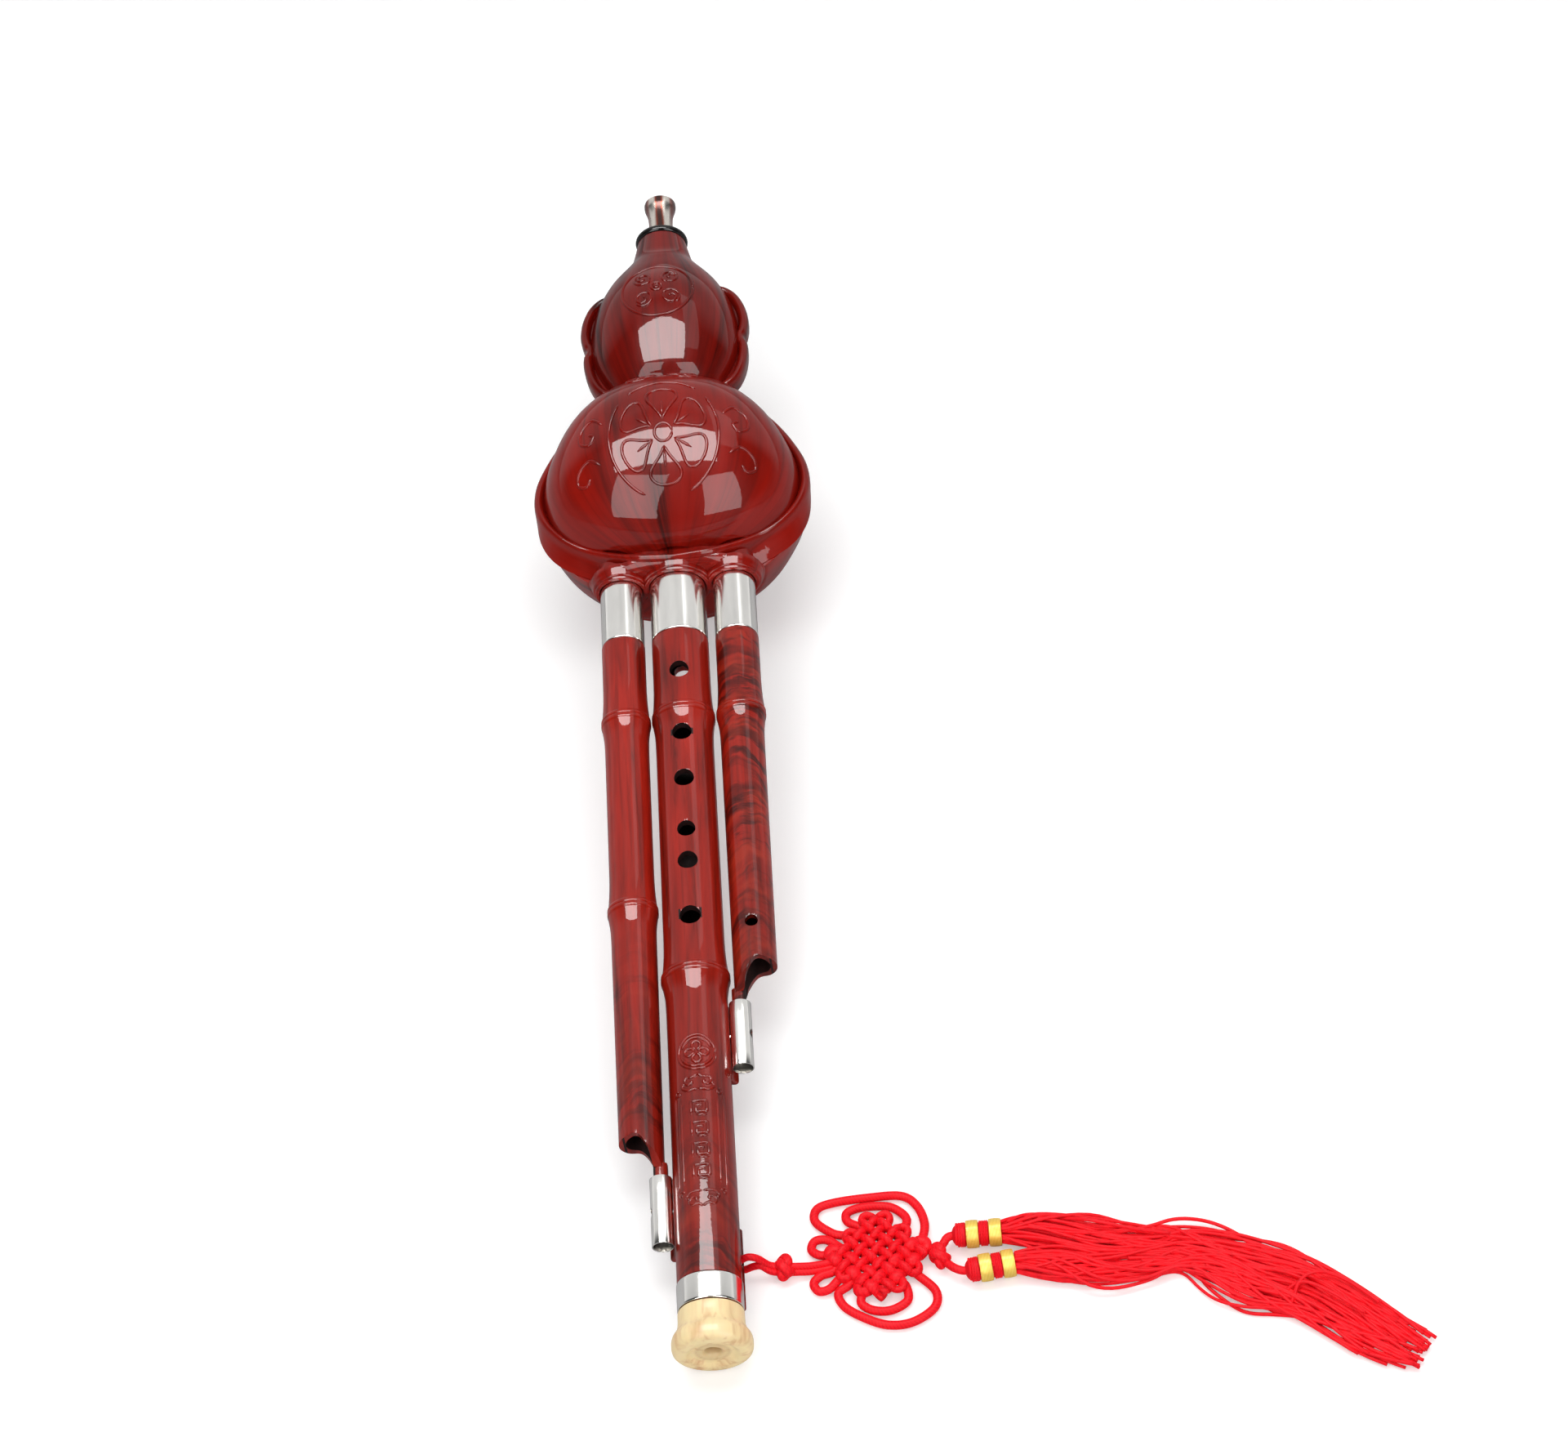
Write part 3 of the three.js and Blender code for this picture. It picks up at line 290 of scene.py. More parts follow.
def strands(name, routes):
    """Round strands as one mesh, each a dict of path in metres, radius and sides; UV runs along it and round it."""
    points, faces, wraps = [], [], []
    for strand in routes:
        path = [Vector(point) for point in strand["path"]]
        closed = strand.get("closed", False)
        sides = strand["sides"]
        radius = strand["radius"]
        flat = strand.get("flat", 1)
        count = len(path)
        lean = Vector((0, 0, 1))
        travelled = 0
        first = len(points)
        for index, point in enumerate(path):
            before = path[index - 1] if closed or index else path[0]
            after = path[(index + 1) % count] if closed or index < count - 1 else path[-1]
            along = (after - before).normalized()
            lean = lean - along * lean.dot(along)
            if lean.length < 1e-6:
                lean = along.orthogonal()
            lean.normalize()
            side = along.cross(lean)
            share = index / max(count - 1, 1)
            here = radius(share) if callable(radius) else radius
            if index:
                travelled += (point - path[index - 1]).length
            for step in range(sides):
                angle = 2 * math.pi * step / sides
                points.append(point + (side * math.cos(angle) + lean * math.sin(angle) * flat) * here)
            if index:
                row, last_row = first + index * sides, first + (index - 1) * sides
                length_before = travelled - (point - path[index - 1]).length
                for step in range(sides):
                    on = (step + 1) % sides
                    faces.append((last_row + step, last_row + on, row + on, row + step))
                    a, b = step / sides, (step + 1) / sides
                    u0, u1 = length_before * 100, travelled * 100
                    wraps.extend([(u0, a), (u0, b), (u1, b), (u1, a)])
        if closed:
            row = first + (count - 1) * sides
            shift = round(math.atan2(
                (points[first] - path[0]).dot(lean), (points[first] - path[0]).dot(side)
            ) / (2 * math.pi) * sides)
            for step in range(sides):
                a0, a1 = row + (step + shift) % sides, row + (step + shift + 1) % sides
                faces.append((a0, a1, first + (step + 1) % sides, first + step))
                a, b = step / sides, (step + 1) / sides
                u0 = travelled * 100
                u1 = u0 + (path[0] - path[-1]).length * 100
                wraps.extend([(u0, a), (u0, b), (u1, b), (u1, a)])
        else:
            for end, row in ((0, first), (1, first + (count - 1) * sides)):
                ring = [row + step for step in range(sides)]
                faces.append(tuple(ring if end else reversed(ring)))
                wraps.extend([(travelled * 100 * end, 0.5)] * sides)
    mesh = bpy.data.meshes.new(name)
    mesh.from_pydata(points, [], faces)
    layer = mesh.uv_layers.new(name="UVMap")
    for corner, place in zip(layer.data, wraps):
        corner.uv = place
    piece = bpy.data.objects.new(name, mesh)
    bpy.context.scene.collection.objects.link(piece)
    edit(piece)
    bpy.ops.mesh.normals_make_consistent(inside=False)
    leave_edit()
    return piece


# Materials


class Tree:
    """Short ways to add nodes to a material."""

    def __init__(self, name, **values):
        self.material = bpy.data.materials.new(name)
        self.material.use_nodes = True
        self.nodes = self.material.node_tree.nodes
        self.links = self.material.node_tree.links
        self.shader = self.nodes["Principled BSDF"]
        self.source = self.nodes.new("ShaderNodeTexCoord")
        for key, value in values.items():
            self.shader.inputs[key.replace("_", " ")].default_value = value

    def add(self, kind, inputs, **settings):
        node = self.nodes.new(kind)
        for key, value in settings.items():
            setattr(node, key, value)
        for key, value in inputs.items():
            if isinstance(value, bpy.types.NodeSocket):
                self.links.new(value, node.inputs[key])
            else:
                node.inputs[key].default_value = value
        return node

    def place(self, scale=(1, 1, 1), shift=(0, 0, 0)):
        """Coordinates along the pipes."""
        turn = Matrix.Rotation(-TILT, 3, "X")
        laid = self.add("ShaderNodeMapping", {
            "Vector": self.source.outputs["Object"], "Rotation": (-TILT, 0, 0),
            "Location": -(turn @ REST) + Vector(shift),
        })
        return self.add("ShaderNodeMapping", {"Vector": laid.outputs[0], "Scale": scale}).outputs[0]

    def noise(self, vector, scale, detail=3, roughness=0.5, distortion=0):
        return self.add("ShaderNodeTexNoise", {
            "Vector": vector, "Scale": scale, "Detail": detail, "Roughness": roughness, "Distortion": distortion
        }).outputs["Fac"]

    def ramp(self, value, stops):
        node = self.add("ShaderNodeValToRGB", {"Fac": value})
        band = node.color_ramp.elements
        while len(band) < len(stops):
            band.new(0.5)
        for element, (position, shade) in zip(band, stops):
            element.position = position
            element.color = (*(shade if hasattr(shade, "__len__") else (shade,) * 3), 1)
        return node.outputs["Color"]

    def mix(self, share, first, second, blend="MIX"):
        node = self.nodes.new("ShaderNodeMix")
        node.data_type = "RGBA"
        node.blend_type = blend
        for socket, value in ((node.inputs[0], share), (node.inputs[6], first), (node.inputs[7], second)):
            if isinstance(value, bpy.types.NodeSocket):
                self.links.new(value, socket)
            elif hasattr(value, "__len__"):
                socket.default_value = (*value[:3], 1)
            else:
                socket.default_value = value
        return node.outputs[2]

    def maths(self, operation, first, second=0.5):
        return self.add("ShaderNodeMath", {0: first, 1: second}, operation=operation).outputs[0]

    def bump(self, height, strength, distance, under=None):
        inputs = {"Height": height, "Strength": strength, "Distance": distance}
        if under:
            inputs["Normal"] = under
        return self.add("ShaderNodeBump", inputs).outputs[0]

    def give(self, **sources):
        for key, socket in sources.items():
            self.links.new(socket, self.shader.inputs[key.replace("_", " ")])
        return self.material


def lacquer(name, light, dark, fine, mottle, zones, reach, hair, burl=(), middle=0.0):
    """Clear gloss over a streaked red ground, shaded by zones along the pipes: places in half metres, and shares."""
    tree = Tree(name, Coat_Weight=0.55, Coat_Roughness=0.02, Coat_IOR=1.5, Specular_IOR_Level=0.05)
    light, dark = Vector(light), Vector(dark)
    apart = tree.add("ShaderNodeSeparateXYZ", {"Vector": tree.place()})
    across = tree.maths("SUBTRACT", apart.outputs[0], middle)
    outward = tree.add("ShaderNodeCombineXYZ", {0: across, 1: 0, 2: apart.outputs[2]}).outputs[0]
    outward = tree.add("ShaderNodeVectorMath", {0: outward}, operation="NORMALIZE").outputs[0]
    round_it = tree.add("ShaderNodeVectorMath", {0: outward, 1: (reach, 0, reach)}, operation="MULTIPLY").outputs[0]

    def lengthwise(share):
        slow = tree.maths("MULTIPLY", apart.outputs[1], share)
        along = tree.add("ShaderNodeCombineXYZ", {0: middle * 7, 1: slow, 2: 0}).outputs[0]
        return tree.add("ShaderNodeVectorMath", {0: round_it, 1: along}, operation="ADD").outputs[0]

    streaks = tree.noise(lengthwise(0.08), fine, 4, 0.62, 0.4)
    clouds = tree.noise(lengthwise(0.35), mottle, 3, 0.55, 0.8)
    both = tree.maths("ADD", tree.maths("MULTIPLY", streaks, 0.66), tree.maths("MULTIPLY", clouds, 0.34))
    shade = tree.ramp(both, [
        (0.36, dark * 0.7), (0.43, dark.lerp(light, 0.5)), (0.5, light), (0.6, light * 1.25), (0.68, light * 0.9)
    ])
    hairs = tree.noise(lengthwise(0.025), fine * 3, 2, 0.5, 0.2)
    shade = tree.mix(tree.ramp(hairs, [(0.32, hair), (0.42, 0.0)]), shade, dark * 0.8)
    half = tree.maths("MULTIPLY", apart.outputs[1], 2)
    if burl:
        bow = tree.maths("MULTIPLY", tree.maths("MULTIPLY", across, across), -75)
        wander = tree.maths("MULTIPLY", tree.noise(tree.place((1, 0.7, 1)), 60, 3), 0.016)
        level = tree.maths("ADD", tree.maths("SUBTRACT", apart.outputs[1], bow), wander)
        bent = tree.add("ShaderNodeCombineXYZ", {0: apart.outputs[0], 1: level, 2: apart.outputs[2]}).outputs[0]

        def lying(scale, flat, detail):
            squashed = tree.add("ShaderNodeVectorMath", {0: bent, 1: (flat, 1, flat)}, operation="MULTIPLY")
            return tree.noise(squashed.outputs[0], scale, detail, 0.62)

        pools = tree.ramp(lying(66, 0.3, 3), [(0.44, 0.0), (0.56, 1.0)])
        lines = tree.ramp(lying(330, 0.2, 4), [(0.41, 1.0), (0.49, 0.75), (0.57, 0.0)])
        amount = tree.maths("MULTIPLY", tree.maths("MULTIPLY", lines, pools), tree.ramp(half, burl))
        shade = tree.mix(amount, shade, dark * 0.32)
        glow = tree.ramp(lying(90, 0.5, 3), [(0.5, 0.0), (0.66, 0.55)])
        shade = tree.mix(tree.maths("MULTIPLY", glow, tree.ramp(half, burl)), shade, Vector((0.5, 0.035, 0.012)))
    shade = tree.mix(1.0, shade, tree.ramp(half, zones), "MULTIPLY")
    waves = tree.bump(tree.noise(tree.place(), 48, 2), 0.35, 0.00012)
    skin = tree.bump(tree.noise(tree.place(), 900, 2), 0.2, 0.00002, waves)
    rough = tree.ramp(tree.noise(tree.place((1, 0.2, 1)), 160, 2), [(0.35, 0.3), (0.7, 0.42)])
    return tree.give(Base_Color=shade, Roughness=rough, Coat_Normal=skin, Normal=waves)


def metal(name, shade, low, high, speckle=300):
    tree = Tree(name, Metallic=1)
    shade = Vector(shade)
    worn = tree.noise(tree.place((1, 0.25, 1)), 120, 4, 0.6)
    tone = tree.ramp(worn, [(0.3, shade * 0.86), (0.65, shade)])
    rough = tree.ramp(tree.noise(tree.place(), speckle, 3), [(0.35, low), (0.7, high)])
    marks = tree.bump(tree.noise(tree.place((1, 0.06, 1)), 1600, 2), 0.18, 0.00001)
    return tree.give(Base_Color=tone, Roughness=rough, Normal=marks)


def gourd_lacquer():
    zones = [(0.6, 1.0), (0.72, 0.9), (0.79, 0.66), (0.9, 0.74)]
    return lacquer("gourd_lacquer", colours().gourd, colours().gourd_dark, 125, 30, zones, 0.036, 0.4)


PIPE_ZONES = [(0.05, 0.7), (0.2, 0.72), (0.3, 0.92), (0.42, 1.0)]
RIGHT_PIPE_ZONES = [(0.2, 0.75), (0.34, 0.9), (0.42, 0.95), (0.55, 0.85)]


def pipe_finish(name, fine, mottle, zones, reach, hair, burl, middle=0.0):
    return lacquer(name, colours().pipe, colours().pipe_dark, fine, mottle, zones, reach, hair, burl, middle)


def pipe_lacquer():
    burl = [(0.06, 0.8), (0.13, 0.35), (0.2, 0.0)]
    return pipe_finish("pipe_lacquer", 230, 30, PIPE_ZONES, 0.0102, 0.4, burl)


def left_pipe_lacquer():
    burl = [(0.14, 0.75), (0.24, 0.5), (0.32, 0.0)]
    return pipe_finish("left_pipe_lacquer", 240, 30, PIPE_ZONES, 0.0076, 0.4, burl, -0.02)


def right_pipe_lacquer():
    burl = [(0.2, 0.9), (0.6, 0.95)]
    return pipe_finish("right_pipe_lacquer", 240, 34, RIGHT_PIPE_ZONES, 0.0076, 0.3, burl, 0.02)


def speckled(name, dark, light, scale, detail, rough, grain, bump, stretch=1, **values):
    """A plain finish in two tones: rough is a noise scale, low and high; bump is the grain's strength and depth."""
    tree = Tree(name, **values)
    vector = tree.place((1, stretch, 1))
    tone = tree.ramp(tree.noise(vector, scale, detail), [(0.3, colour(dark)), (0.7, colour(light))])
    fineness, low, high = rough
    matt = tree.ramp(tree.noise(tree.place(), fineness, 3), [(0.3, low), (0.7, high)])
    strength, depth = bump
    return tree.give(
        Base_Color=tone, Roughness=matt, Normal=tree.bump(tree.noise(tree.place(), grain), strength, depth)
    )


# The bore is matte and unlacquered; its near-black colour is painted shade inside the pipes and finger holes.
def bore_painted_shade():
    return speckled(
        "bore_painted_shade", "170605", "2c0c09", 300, 4, (500, 0.6, 0.8), 700, (0.4, 0.0001), stretch=0.1,
        Specular_IOR_Level=0.2
    )


def nickel():
    return metal("nickel", colours().nickel, 0.155, 0.168)


def nickel_painted_reflection():
    """Polished nickel with a painted reflection: across the slender tube the colour runs dark red-brown in the middle
    and at the edges for the mirrored red gourd, and pale grey between for the lamps.
    """
    tree = Tree("nickel_painted_reflection", Metallic=1)
    across = tree.add("ShaderNodeSeparateXYZ", {"Vector": tree.place()}).outputs[0]
    wander = tree.maths("MULTIPLY", tree.maths("SUBTRACT", tree.noise(tree.place((1, 0.3, 1)), 260, 2), 0.5), 0.0012)
    side = tree.maths("MULTIPLY", tree.maths("ABSOLUTE", tree.maths("ADD", across, wander)), 170)
    # Painted reflection: the base colour changes with the distance from the tube's middle, not with the lamps.
    tone = tree.ramp(side, [(at, colour(code)) for at, code in (
        (0.1, "4e3a37"), (0.2, "8a4638"), (0.27, "b9a59d"), (0.36, "ded8cf"), (0.6, "d8d0c8"), (0.74, "9c6f69"),
        (0.95, "6e5a58"),
    )])
    rough = tree.ramp(tree.noise(tree.place(), 300, 3), [(0.35, 0.24), (0.7, 0.32)])
    marks = tree.bump(tree.noise(tree.place((1, 0.06, 1)), 1600, 2), 0.18, 0.00001)
    return tree.give(Base_Color=tone, Roughness=rough, Normal=marks)


def brass():
    return metal("reed_brass", colour("b88a3c"), 0.25, 0.4)


def black_gloss():
    return speckled(
        "black_gloss", "0d0b0b", "1d1919", 240, 3, (500, 0.16, 0.3), 900, (0.2, 0.00002),
        Coat_Weight=0.35, Coat_Roughness=0.05, Specular_IOR_Level=0.15
    )


def seal_rubber():
    return speckled("seal_rubber", "201e1c", "34312e", 400, 4, (700, 0.7, 0.9), 1500, (0.4, 0.00004))


def bone():
    tree = Tree(
        "plug_bone", Coat_Weight=0.2, Coat_Roughness=0.08, Specular_IOR_Level=0.2, Subsurface_Weight=0.15,
        Subsurface_Scale=0.002,
    )
    base, stain = Vector(colours().bone), Vector(colours().bone_dark)
    grain = tree.noise(tree.place((1, 0.12, 1)), 230, 3, 0.5, 0.5)
    tone = tree.ramp(grain, [
        (0.33, base.lerp(stain, 0.42)), (0.43, base.lerp(stain, 0.14)), (0.53, base), (0.7, base * 0.97)
    ])
    veins = tree.ramp(tree.noise(tree.place((1, 0.07, 1), (0.01, 0, 0)), 420, 2, 0.5, 0.3), [(0.3, 0.4), (0.37, 0.0)])
    tone = tree.mix(veins, tone, base.lerp(stain, 0.6))
    blots = tree.noise(tree.place((1, 0.6, 1), (0.004, 0, 0.002)), 75, 3, 0.5, 0.8)
    blots = tree.ramp(blots, [(0.6, 0.0), (0.72, 0.5)])
    apart = tree.add("ShaderNodeSeparateXYZ", {"Vector": tree.place()})
    low = tree.maths("MULTIPLY", apart.outputs[1], 40)
    near = tree.ramp(low, [(0.15, 1.0), (0.5, 0.1)])
    tone = tree.mix(tree.maths("MULTIPLY", blots, near), tone, Vector(colour("c0563a")))
    flat = tree.add("ShaderNodeCombineXYZ", {0: apart.outputs[0], 1: 0, 2: apart.outputs[2]}).outputs[0]
    out = tree.add("ShaderNodeVectorMath", {0: flat}, operation="LENGTH").outputs["Value"]
    # Painted shade: brown rings round the axis near the face darken the hole and the recess.
    rings = tree.ramp(tree.maths("MULTIPLY", out, 100), [
        (0.19, 0.95), (0.23, 0.35), (0.4, 0.22), (0.52, 0.3), (0.62, 0.0)
    ])
    amount = tree.maths("MULTIPLY", rings, tree.ramp(low, [(0.2, 1.0), (0.24, 0.0)]))
    tone = tree.mix(amount, tone, Vector(colour("9c6a3a")))
    rough = tree.ramp(tree.noise(tree.place(), 300, 3), [(0.3, 0.3), (0.7, 0.5)])
    return tree.give(Base_Color=tone, Roughness=rough, Normal=tree.bump(grain, 0.2, 0.00006))


def satin_cord(name, twist, pitch, depth, groove_shade):
    """Satin cord; UV runs along it in steps of 10 mm and once round it."""
    tree = Tree(name, Sheen_Weight=0.06, Sheen_Roughness=0.35, Specular_IOR_Level=0.06)
    tree.shader.inputs["Sheen Tint"].default_value = (1, 0.35, 0.3, 1)
    base = Vector(colours().cord)
    apart = tree.add("ShaderNodeSeparateXYZ", {"Vector": tree.source.outputs["UV"]})
    along, round_it = apart.outputs[0], apart.outputs[1]
    slope = tree.maths("ADD", tree.maths("MULTIPLY", along, pitch), tree.maths("MULTIPLY", round_it, twist))
    ridge = tree.maths("ABSOLUTE", tree.maths("SINE", tree.maths("MULTIPLY", slope, math.pi)))
    across = tree.maths("MULTIPLY", round_it, twist * 2)
    other = tree.maths("SUBTRACT", tree.maths("MULTIPLY", along, pitch * 1.1), across)
    thread = tree.maths("ABSOLUTE", tree.maths("SINE", tree.maths("MULTIPLY", other, math.pi)))
    # Painted shade: the base colour is darker in the grooves between the twisted plies.
    shade = tree.ramp(ridge, [(0.0, base * groove_shade), (0.3, base * (0.5 + groove_shade / 2)), (1.0, base)])
    tone = tree.noise(tree.source.outputs["Object"], 130, 3)
    shade = tree.mix(tree.ramp(tone, [(0.35, 0.3), (0.65, 0.0)]), shade, base * 0.74)
    height = tree.maths("ADD", ridge, tree.maths("MULTIPLY", thread, 0.3))
    rough = tree.ramp(thread, [(0.0, 0.5), (1.0, 0.34)])
    return tree.give(Base_Color=shade, Roughness=rough, Normal=tree.bump(height, 0.5, depth))


def red_cord():
    return satin_cord("red_cord", 4, 9, 0.00006, 0.78)


def tassel_thread():
    return satin_cord("tassel_thread", 1, 2.4, 0.00004, 0.88)


def gold_thread():
    tree = Tree("gold_thread", Sheen_Weight=0.15, Sheen_Roughness=0.3, Metallic=0.25, Specular_IOR_Level=0.5)
    base = Vector(colours().gold)
    threads = tree.add("ShaderNodeTexWave", {
        "Vector": tree.source.outputs["Object"], "Scale": 900, "Distortion": 0.6, "Detail": 1, "Detail Scale": 0.4
    }, bands_direction="X").outputs["Fac"]
    # Painted shade and highlight: each thread is darker in its gaps and paler, toward white, on its crest.
    shade = tree.ramp(threads, [(0.0, base * 0.72), (0.5, base), (1.0, base.lerp(Vector((1, 0.95, 0.75)), 0.3))])
    patches = tree.ramp(tree.noise(tree.source.outputs["Object"], 260, 3), [(0.35, 0.4), (0.65, 0.0)])
    shade = tree.mix(patches, shade, base * 0.62)
    rough = tree.ramp(threads, [(0.0, 0.5), (1.0, 0.28)])
    return tree.give(Base_Color=shade, Roughness=rough, Normal=tree.bump(threads, 0.6, 0.00008))


made = {}


def finish(maker):
    """Each finish is made once."""
    if maker not in made:
        made[maker] = maker()
    return made[maker]


# Places along the pipes' axis
PIPE_FOOT = 15.0
FERRULE_FOOT = 273.9
FERRULE_TOP = 307.2
COLLAR_FOOT = 297.5
GOURD_TOP = 457.5
GASKET_FOOT = 457.8
GASKET_TOP = 460.6
SOCKET_TOP = 318.2
DRONE_SIDES = {"left": -1, "right": 1}
SLEEVE_TOPS = {"left": 63.2, "right": 125.49}
MAIN_FERRULE = 9.9
DRONE_FERRULE = 7.5
MAIN_BORE = 7
DRONE_BORE = 5.1
MAIN_TENON = 9.1
DRONE_TENON = 6.7
MAIN_TOP = 344.9
DRONE_TOP = 339.9
MOUTH_HOLE = 4.9
MAIN_NODES = (136.09, 241.02)
DRONE_NODES = {"left": (164.38, 241.02), "right": (241.02,)}
FINGER_HOLES = [(255.9, 3.35), (229.7, 3.35), (210.7, 3.4), (190, 3.1), (177.4, 3.4), (155.71, 3.55)]
THUMB_HOLE = (265.87, 3.1)
SLEEVE_OFFSET = 14.2
SLEEVE_RADIUS = 3.7
SLEEVE_LENGTH = 24.2
DRONE_SPACING = 20
NODE_SWELL = [
    (-15, 0), (-12.5, 0.015), (-10, 0.05), (-8, 0.1), (-6.5, 0.19), (-5, 0.35), (-3.6, 0.54), (-2.4, 0.71),
    (-1.9, 0.78), (-1.75, 0.82), (-1.55, 0.95), (-1.1, 1.03), (-0.5, 1.05), (-0.15, 0.97), (0, 0.9),
    (0.15, 0.97), (0.5, 1.04), (1.0, 1), (1.3, 0.88), (1.5, 0.72), (1.9, 0.63), (3.6, 0.47), (6, 0.28),
    (9, 0.12), (12, 0.03), (14.5, 0),
]
DOME = [
    (305.4, 0.9), (306, 13.4), (309.8, 26), (315.6, 36), (322.8, 42.4), (331.1, 45.4), (339, 46), (347, 44.3),
    (358.9, 38.8), (370.5, 29.8), (379, 21.8), (384.5, 21.6), (390, 24.4), (396, 26.8), (403, 27.9),
    (411, 27.9), (418.5, 26.6), (424.5, 24.9), (432.2, 21.5), (436.9, 18.5), (441.5, 15), (446.1, 12),
    (451, 10.5), (457.5, 9.1),
]
BACK = [
    (303.5, 31.04), (305.96, 33.95), (311.97, 39.53), (318.9, 43.65), (326.6, 47.05), (334.3, 48.5),
    (342, 48.5), (352, 46.56), (364.3, 40.5), (374.3, 33.5), (382, 26.9), (388.2, 24.97), (395.9, 26.86),
    (406.2, 29.2), (414.4, 29.2), (423.9, 26.3), (432.2, 21.5), (436.9, 18.5), (441.5, 15), (446.1, 12),
    (451, 10.5), (457.5, 9.1),
]
CREST = [
    (305.4, 0.8), (306, 10.4), (309.8, 19.6), (315.6, 26.8), (322.8, 31.5), (329.4, 34.3), (337, 36.8),
    (345.8, 38.4), (351, 38.8), (355.5, 38.5), (361, 37), (366, 34), (371, 29.4), (375, 24.4), (378, 19.4),
    (380, 15.6), (381.4, 14), (382.8, 14.2), (384.4, 15.7), (386.2, 17.3), (388.4, 18.3), (391.5, 19.4),
    (395.5, 20.7), (400, 22), (404.5, 23.1), (409, 24), (413, 24.5), (417, 24.6), (421, 24), (426, 22.3),
    (431, 19.9), (436, 17.2), (441.5, 14.1), (446.1, 11.6), (451, 10.4), (457.5, 9.1),
]
RIM = [
    (0, 303.8), (14.8, 305.35), (28.16, 309.5), (38, 315.05), (45.45, 323.1), (49.2, 332), (49.3, 341.1),
    (46.4, 350), (39.6, 362), (29.2, 374.5), (22.6, 381.5),
]
EAR = [
    (17.5, 379.3), (22.6, 381.7), (26.4, 385.4), (29, 391), (30.3, 397.4), (30.3, 402), (29.35, 404.8),
    (30.4, 407.4), (31.2, 412.6), (30.2, 419.4), (27.4, 425.6), (22.9, 429.6), (17.5, 430.6),
]
BACK_SHARE = 0.92


def eased(value, low, high):
    """0 below low and 1 above high, with a soft change between them."""
    t = min(max((value - low) / (high - low), 0), 1)
    return t * t * (3 - 2 * t)


def level_at(outline, place):
    """The outline's second number at a place."""
    for (y0, r0), (y1, r1) in zip(outline, outline[1:]):
        if y0 <= place <= y1:
            return r0 + (r1 - r0) * (place - y0) / max(y1 - y0, 1e-6)
    return outline[-1][1] if place > outline[0][0] else outline[0][1]


SMOOTH_DOME = smooth(DOME, 6)
SMOOTH_CREST = smooth(CREST, 6)


def fullness(place):
    """Power of the front's cross-sections: 2 is an ellipse, and more is fuller."""
    return 2 + 0.34 * (1 - eased(place, 368, 384)) * eased(place, 306, 322)


def shape_front(piece):
    """Brings a turned shape to the depth of the gourd's front, with full sides."""
    for vertex in piece.data.vertices:
        x, y, z = vertex.co / MM
        radius = math.hypot(x, z)
        if radius < 0.01:
            continue
        power = fullness(y)
        full = (abs(x / radius) ** power + abs(z / radius) ** power) ** (-1 / power)
        share = level_at(SMOOTH_CREST, y) / max(level_at(SMOOTH_DOME, y), 0.1)
        vertex.co = Vector((x * full, y, z * full * min(share, 1.1))) * MM


def shape_back(piece):
    """Flattens a turned shape to the gourd's back, which is round again at the neck."""
    for vertex in piece.data.vertices:
        vertex.co.z *= BACK_SHARE + (1 - BACK_SHARE) * eased(vertex.co.y / MM, 429.9, GOURD_TOP)


def shell(name, outline, front):
    piece = turned(name, outline, 144)
    (shape_front if front else shape_back)(piece)
    halved(piece, front)
    modifier = piece.modifiers.new("wall", "SOLIDIFY")
    modifier.thickness = 2.4 * MM
    modifier.offset = -1
    activate(piece)
    bpy.ops.object.modifier_apply(modifier="wall")
    return piece


def sockets(room, top):
    """Cutter for the three pipes' holes, with room round them."""
    foot = COLLAR_FOOT - 3
    cutter = rod(MAIN_FERRULE + room, (0, foot, 0), (0, top, 0), 64)
    for side in DRONE_SIDES.values():
        x = side * DRONE_SPACING
        combine(cutter, rod(DRONE_FERRULE + room, (x, foot, 0), (x, top, 0), 64), "UNION")
    return cutter


BEAD = [
    (0.5, -14.5), (0.25, -9), (0.05, -5.5), (0, -3.6), (0.06, -2.5), (0.22, -1.7), (0.5, -1), (0.9, -0.42),
    (1.35, -0.1), (1.8, 0), (2.25, -0.1), (2.7, -0.42), (3.1, -1), (3.36, -1.65), (3.55, -2.2), (3.85, -2.6),
    (4.4, -2.75), (7.6, -2.8), (8.2, -3.4), (8, -5), (3.4, -5), (2.6, -5.8), (2.4, -14.5),
]


def bead(name, path, top, inward, closed, rise=0.0):
    """A wall with a rounded bead and a groove inside it, swept along a path at the gourd's edge."""
    points = []
    for x, y in path:
        lift = rise * (1 - eased(abs(x), 9, 33)) if y < 330 else 0.0
        points.append((x, y - 0.6 * lift, top + lift))
    if closed:
        points.append(points[0])
    piece = chain(name, points)
    bpy.ops.mesh.remove_doubles(threshold=MM / 500)
    leave_edit()
    bpy.ops.object.convert(target="CURVE")
    width = sizes().bead / MM / 3.6
    section = chain("section", [(inward * across * width, up, 0) for across, up in BEAD + BEAD[:1]])
    bpy.ops.mesh.remove_doubles(threshold=MM / 500)
    leave_edit()
    bpy.ops.object.convert(target="CURVE")
    activate(piece)
    piece.data.dimensions = "3D"
    piece.data.twist_mode = "Z_UP"
    piece.data.bevel_mode = "OBJECT"
    piece.data.bevel_object = section
    piece.data.use_fill_caps = not closed
    bpy.ops.object.convert(target="MESH")
    bpy.data.objects.remove(section)
    edit(piece)
    bpy.ops.mesh.remove_doubles(threshold=MM / 500)
    bpy.ops.mesh.normals_make_consistent(inside=False)
    leave_edit()
    return piece


